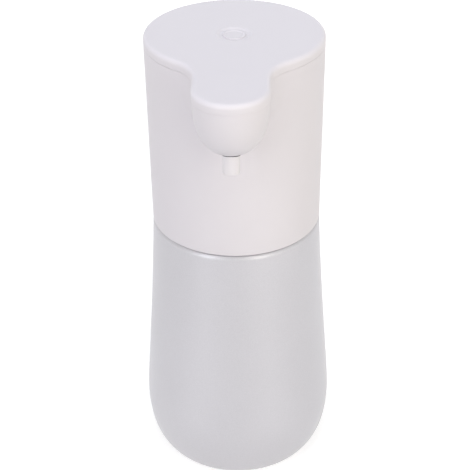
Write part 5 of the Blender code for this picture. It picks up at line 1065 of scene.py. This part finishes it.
class DISPENSER_OT_charge_socket(DispenserPart, bpy.types.Operator):
    """Make the charging socket: a rounded metal sleeve, a dark tongue and the gold contacts on it"""
    bl_idname = "dispenser.charge_socket"
    bl_label = "Charging socket"

    def execute(self, context):
        half_w, half_h = SOCKET_HIGH.x, (SOCKET_HIGH.z - SOCKET_LOW.z) / 2
        back, mouth = SOCKET_LOW.y, SOCKET_HIGH.y
        wall = SOCKET_WALL
        floor = mouth - SOCKET_DEPTH
        rings = [slot_ring(half_w - gap, half_h - gap, y)
                 for gap, y in ((0.0003, back), (0.0, back + 0.0003),
                                (0.0, mouth - 0.0001), (0.0001, mouth),
                                (wall - 0.0001, mouth), (wall, mouth - 0.0001), (wall, floor))]
        make_piece("charge_socket_sleeve", [shell(capped(rings))],
                   "head", "screw_steel", "charge_socket", look="motor_metal")
        tongue = [slot_ring(TONGUE_HALF_WIDTH - gap, TONGUE_HALF_HEIGHT - gap, y)
                  for gap, y in ((0.0, floor - 0.0001), (0.0, floor + 0.0049), (0.0001, floor + 0.0050))]
        make_piece("charge_socket_tongue", [shell(capped(tongue))], "head", "black_sheath")
        across = np.linspace(-CONTACT_SPREAD, CONTACT_SPREAD, CONTACT_COUNT)
        strips = [self.strip(x, SOCKET_Z + side * 0.00036, floor + 0.0006, floor + 0.0044)
                  for side in (-1, 1) for x in across]
        make_piece("charge_socket_contacts", strips, "head", "terminal_brass",
                   look="contact_gold", crease=None)
        return {"FINISHED"}

    @staticmethod
    def strip(x, z, near, far):
        """One thin flat contact: a rectangle's loop carried along the tongue."""
        loop = np.array(((-0.00012, -0.00004), (0.00012, -0.00004),
                         (0.00012, 0.00004), (-0.00012, 0.00004)))
        rows = [np.column_stack((loop[:, 0] + x, np.full(4, y), loop[:, 1] + z)) for y in (near, far)]
        return shell(capped(rows))


class DISPENSER_OT_inner_finishes(DispenserPart, bpy.types.Operator):
    """Give every carried-over CAD node the finish of its material slot"""
    bl_idname = "dispenser.inner_finishes"
    bl_label = "Inner finishes"

    def execute(self, context):
        for entry in frame["record"]["subparts"]:
            name = entry["node"]
            materials = frame["nodes"][name].data.materials
            materials.clear()
            materials.append(finish("foam" if name == "battery_pad" else entry["material_slot"]))
        return {"FINISHED"}


def soft_box(name, place, aim, width, height, power, colour, mirrored):
    """A rectangular lamp at a place, turned to face a point; mirrored lets it show in reflections."""
    lamp = bpy.data.lights.new(name, "AREA")
    lamp.shape = "RECTANGLE"
    lamp.size, lamp.size_y = width, height
    lamp.energy = power
    lamp.color = colour
    item = bpy.data.objects.new(name, lamp)
    bpy.context.scene.collection.objects.link(item)
    way = np.array(aim, float) - np.array(place, float)
    flat = hypot(way[0], way[1])
    item.matrix_world = (Matrix.Translation(place)
                         @ Matrix.Rotation(atan2(way[1], way[0]) - pi / 2, 4, "Z")
                         @ Matrix.Rotation(atan2(flat, -way[2]), 4, "X"))
    item.visible_camera = False
    item.visible_glossy = mirrored


def seen_directly(tree):
    """One where the camera, a reflection or a view through glass looks, and nothing elsewhere."""
    path = add(tree, "ShaderNodeLightPath")
    mirrored = math_node(tree, "MAXIMUM", path.outputs["Is Camera Ray"], path.outputs["Is Glossy Ray"])
    return math_node(tree, "MAXIMUM", mirrored, path.outputs["Is Transmission Ray"])


class DISPENSER_OT_studio(DispenserPart, bpy.types.Operator):
    """Set up the pale floor, the soft lamps, the white surroundings and the camera"""
    bl_idname = "dispenser.studio"
    bl_label = "Studio"

    def execute(self, context):
        self.floor()
        self.world()
        for lamp in LAMPS:
            soft_box(*lamp)
        self.camera()
        context.scene.view_settings.view_transform = "Standard"
        return {"FINISHED"}

    @staticmethod
    def floor():
        """A wide round floor, level up to its rim: white to the camera, with the object's shadow.

        Its glow rises with the distance, to 1 where the lamps no longer reach it.
        """
        radius = np.concatenate((np.linspace(0, 1.2, 7), np.linspace(1.4, 3.0, 5)))
        grid = revolve(np.column_stack((radius, 0 * radius)), 96)
        index = numbering(grid)
        index[0] = index[0, 0]
        disc = corners_used(grid, quads_between(index[:-1], index[1:]))
        material, tree, shader, place = start_material(
            "floor_paper", {"Roughness": 0.9, "Specular IOR Level": 0.1})
        paper = two_tones(tree, noise(tree, place, 900.0), (0.60, 0.60, 0.60), (0.62, 0.62, 0.62))
        feed(tree, shader, {"Base Color": paper})
        away = add(tree, "ShaderNodeVectorMath", {0: place}, operation="LENGTH")
        rise = add(tree, "ShaderNodeMapRange",
                   {"Value": away.outputs["Value"], "From Min": GLOW_FROM, "From Max": GLOW_TO,
                    "To Min": FLOOR_GLOW, "To Max": 1.0}, interpolation_type="SMOOTHSTEP")
        glow = add(tree, "ShaderNodeEmission", {"Strength": rise.outputs["Result"]})
        dark = add(tree, "ShaderNodeEmission", {"Strength": 0.0})
        choose = add(tree, "ShaderNodeMixShader",
                     {0: seen_directly(tree), 1: dark.outputs[0], 2: glow.outputs[0]})
        total = add(tree, "ShaderNodeAddShader", {0: shader.outputs[0], 1: choose.outputs[0]})
        feed(tree, tree.nodes["Material Output"], {"Surface": total.outputs[0]})
        item = mesh_piece("floor", [disc], material)
        item.location.z = -FLOOR_DROP

    @staticmethod
    def world():
        """White to the camera and in reflections; its glow on the object is stronger from the left,
        from the front and from low down.

        The glow's strength is a level plus a slope times the direction, one slope for each axis.
        """
        world = bpy.data.worlds.new("surroundings")
        bpy.context.scene.world = world
        world.use_nodes = True
        tree = world.node_tree
        place = add(tree, "ShaderNodeTexCoord").outputs["Generated"]
        way = add(tree, "ShaderNodeVectorMath", {0: place, 1: WORLD_SLOPES}, operation="DOT_PRODUCT")
        level = math_node(tree, "ADD", way.outputs["Value"], WORLD_LEVEL)
        glow = feed(tree, tree.nodes["Background"], {"Color": WORLD_COLOUR, "Strength": level})
        white = add(tree, "ShaderNodeBackground", {"Color": (1, 1, 1, 1), "Strength": 1.0})
        mix = add(tree, "ShaderNodeMixShader",
                  {0: seen_directly(tree), 1: glow.outputs[0], 2: white.outputs[0]})
        feed(tree, tree.nodes["World Output"], {"Surface": mix.outputs[0]})

    @staticmethod
    def camera():
        """The photograph's view: looking 33 degrees down on the front, a touch from the right."""
        place = (CAMERA_AWAY * sin(CAMERA_SWING), -CAMERA_AWAY * cos(CAMERA_SWING), CAMERA_HEIGHT)
        lens = bpy.data.cameras.new("camera")
        lens.sensor_width = SENSOR_WIDTH
        lens.lens = SENSOR_WIDTH * FOCAL_PIXELS / PICTURE_PIXELS
        lens.shift_x = SHIFT_PIXELS / PICTURE_PIXELS
        lens.clip_start = 0.01
        item = bpy.data.objects.new("camera", lens)
        bpy.context.scene.collection.objects.link(item)
        item.matrix_world = (Matrix.Translation(place) @ Matrix.Rotation(CAMERA_SWING, 4, "Z")
                             @ Matrix.Rotation(pi / 2 - CAMERA_PITCH, 4, "X")
                             @ Matrix.Rotation(CAMERA_ROLL, 4, "Z"))
        bpy.context.scene.camera = item


OPERATORS = (
    DISPENSER_OT_bottle, DISPENSER_OT_foot_pad, DISPENSER_OT_neck_gasket, DISPENSER_OT_housing,
    DISPENSER_OT_top_cover, DISPENSER_OT_power_button, DISPENSER_OT_nozzle, DISPENSER_OT_nozzle_ring,
    DISPENSER_OT_sensor_window, DISPENSER_OT_port_plug, DISPENSER_OT_charge_socket,
    DISPENSER_OT_inner_finishes, DISPENSER_OT_studio,
)


class DISPENSER_PT_panel(bpy.types.Panel):
    """Lists the pieces, and the sizes and colours that shape them"""
    bl_idname = "DISPENSER_PT_panel"
    bl_label = "Soap dispenser"
    bl_space_type = "VIEW_3D"
    bl_region_type = "UI"
    bl_category = "Dispenser"

    def draw(self, context):
        for settings in (context.scene.dispenser_sizes, context.scene.dispenser_colours):
            box = self.layout.box()
            for name in settings.__annotations__:
                box.prop(settings, name)
        column = self.layout.column(align=True)
        for operator in OPERATORS:
            column.operator(operator.bl_idname)


CLASSES = (DispenserSizes, DispenserColours, *OPERATORS, DISPENSER_PT_panel)


def register():
    for item in CLASSES:
        bpy.utils.register_class(item)
    bpy.types.Scene.dispenser_sizes = bpy.props.PointerProperty(type=DispenserSizes)
    bpy.types.Scene.dispenser_colours = bpy.props.PointerProperty(type=DispenserColours)


def unregister():
    del bpy.types.Scene.dispenser_colours
    del bpy.types.Scene.dispenser_sizes
    for item in reversed(CLASSES):
        bpy.utils.unregister_class(item)


def main():
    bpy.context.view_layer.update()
    register()
    for operator in OPERATORS:
        group, name = operator.bl_idname.split(".")
        getattr(getattr(bpy.ops, group), name)()


if __name__ == "__main__":
    main()
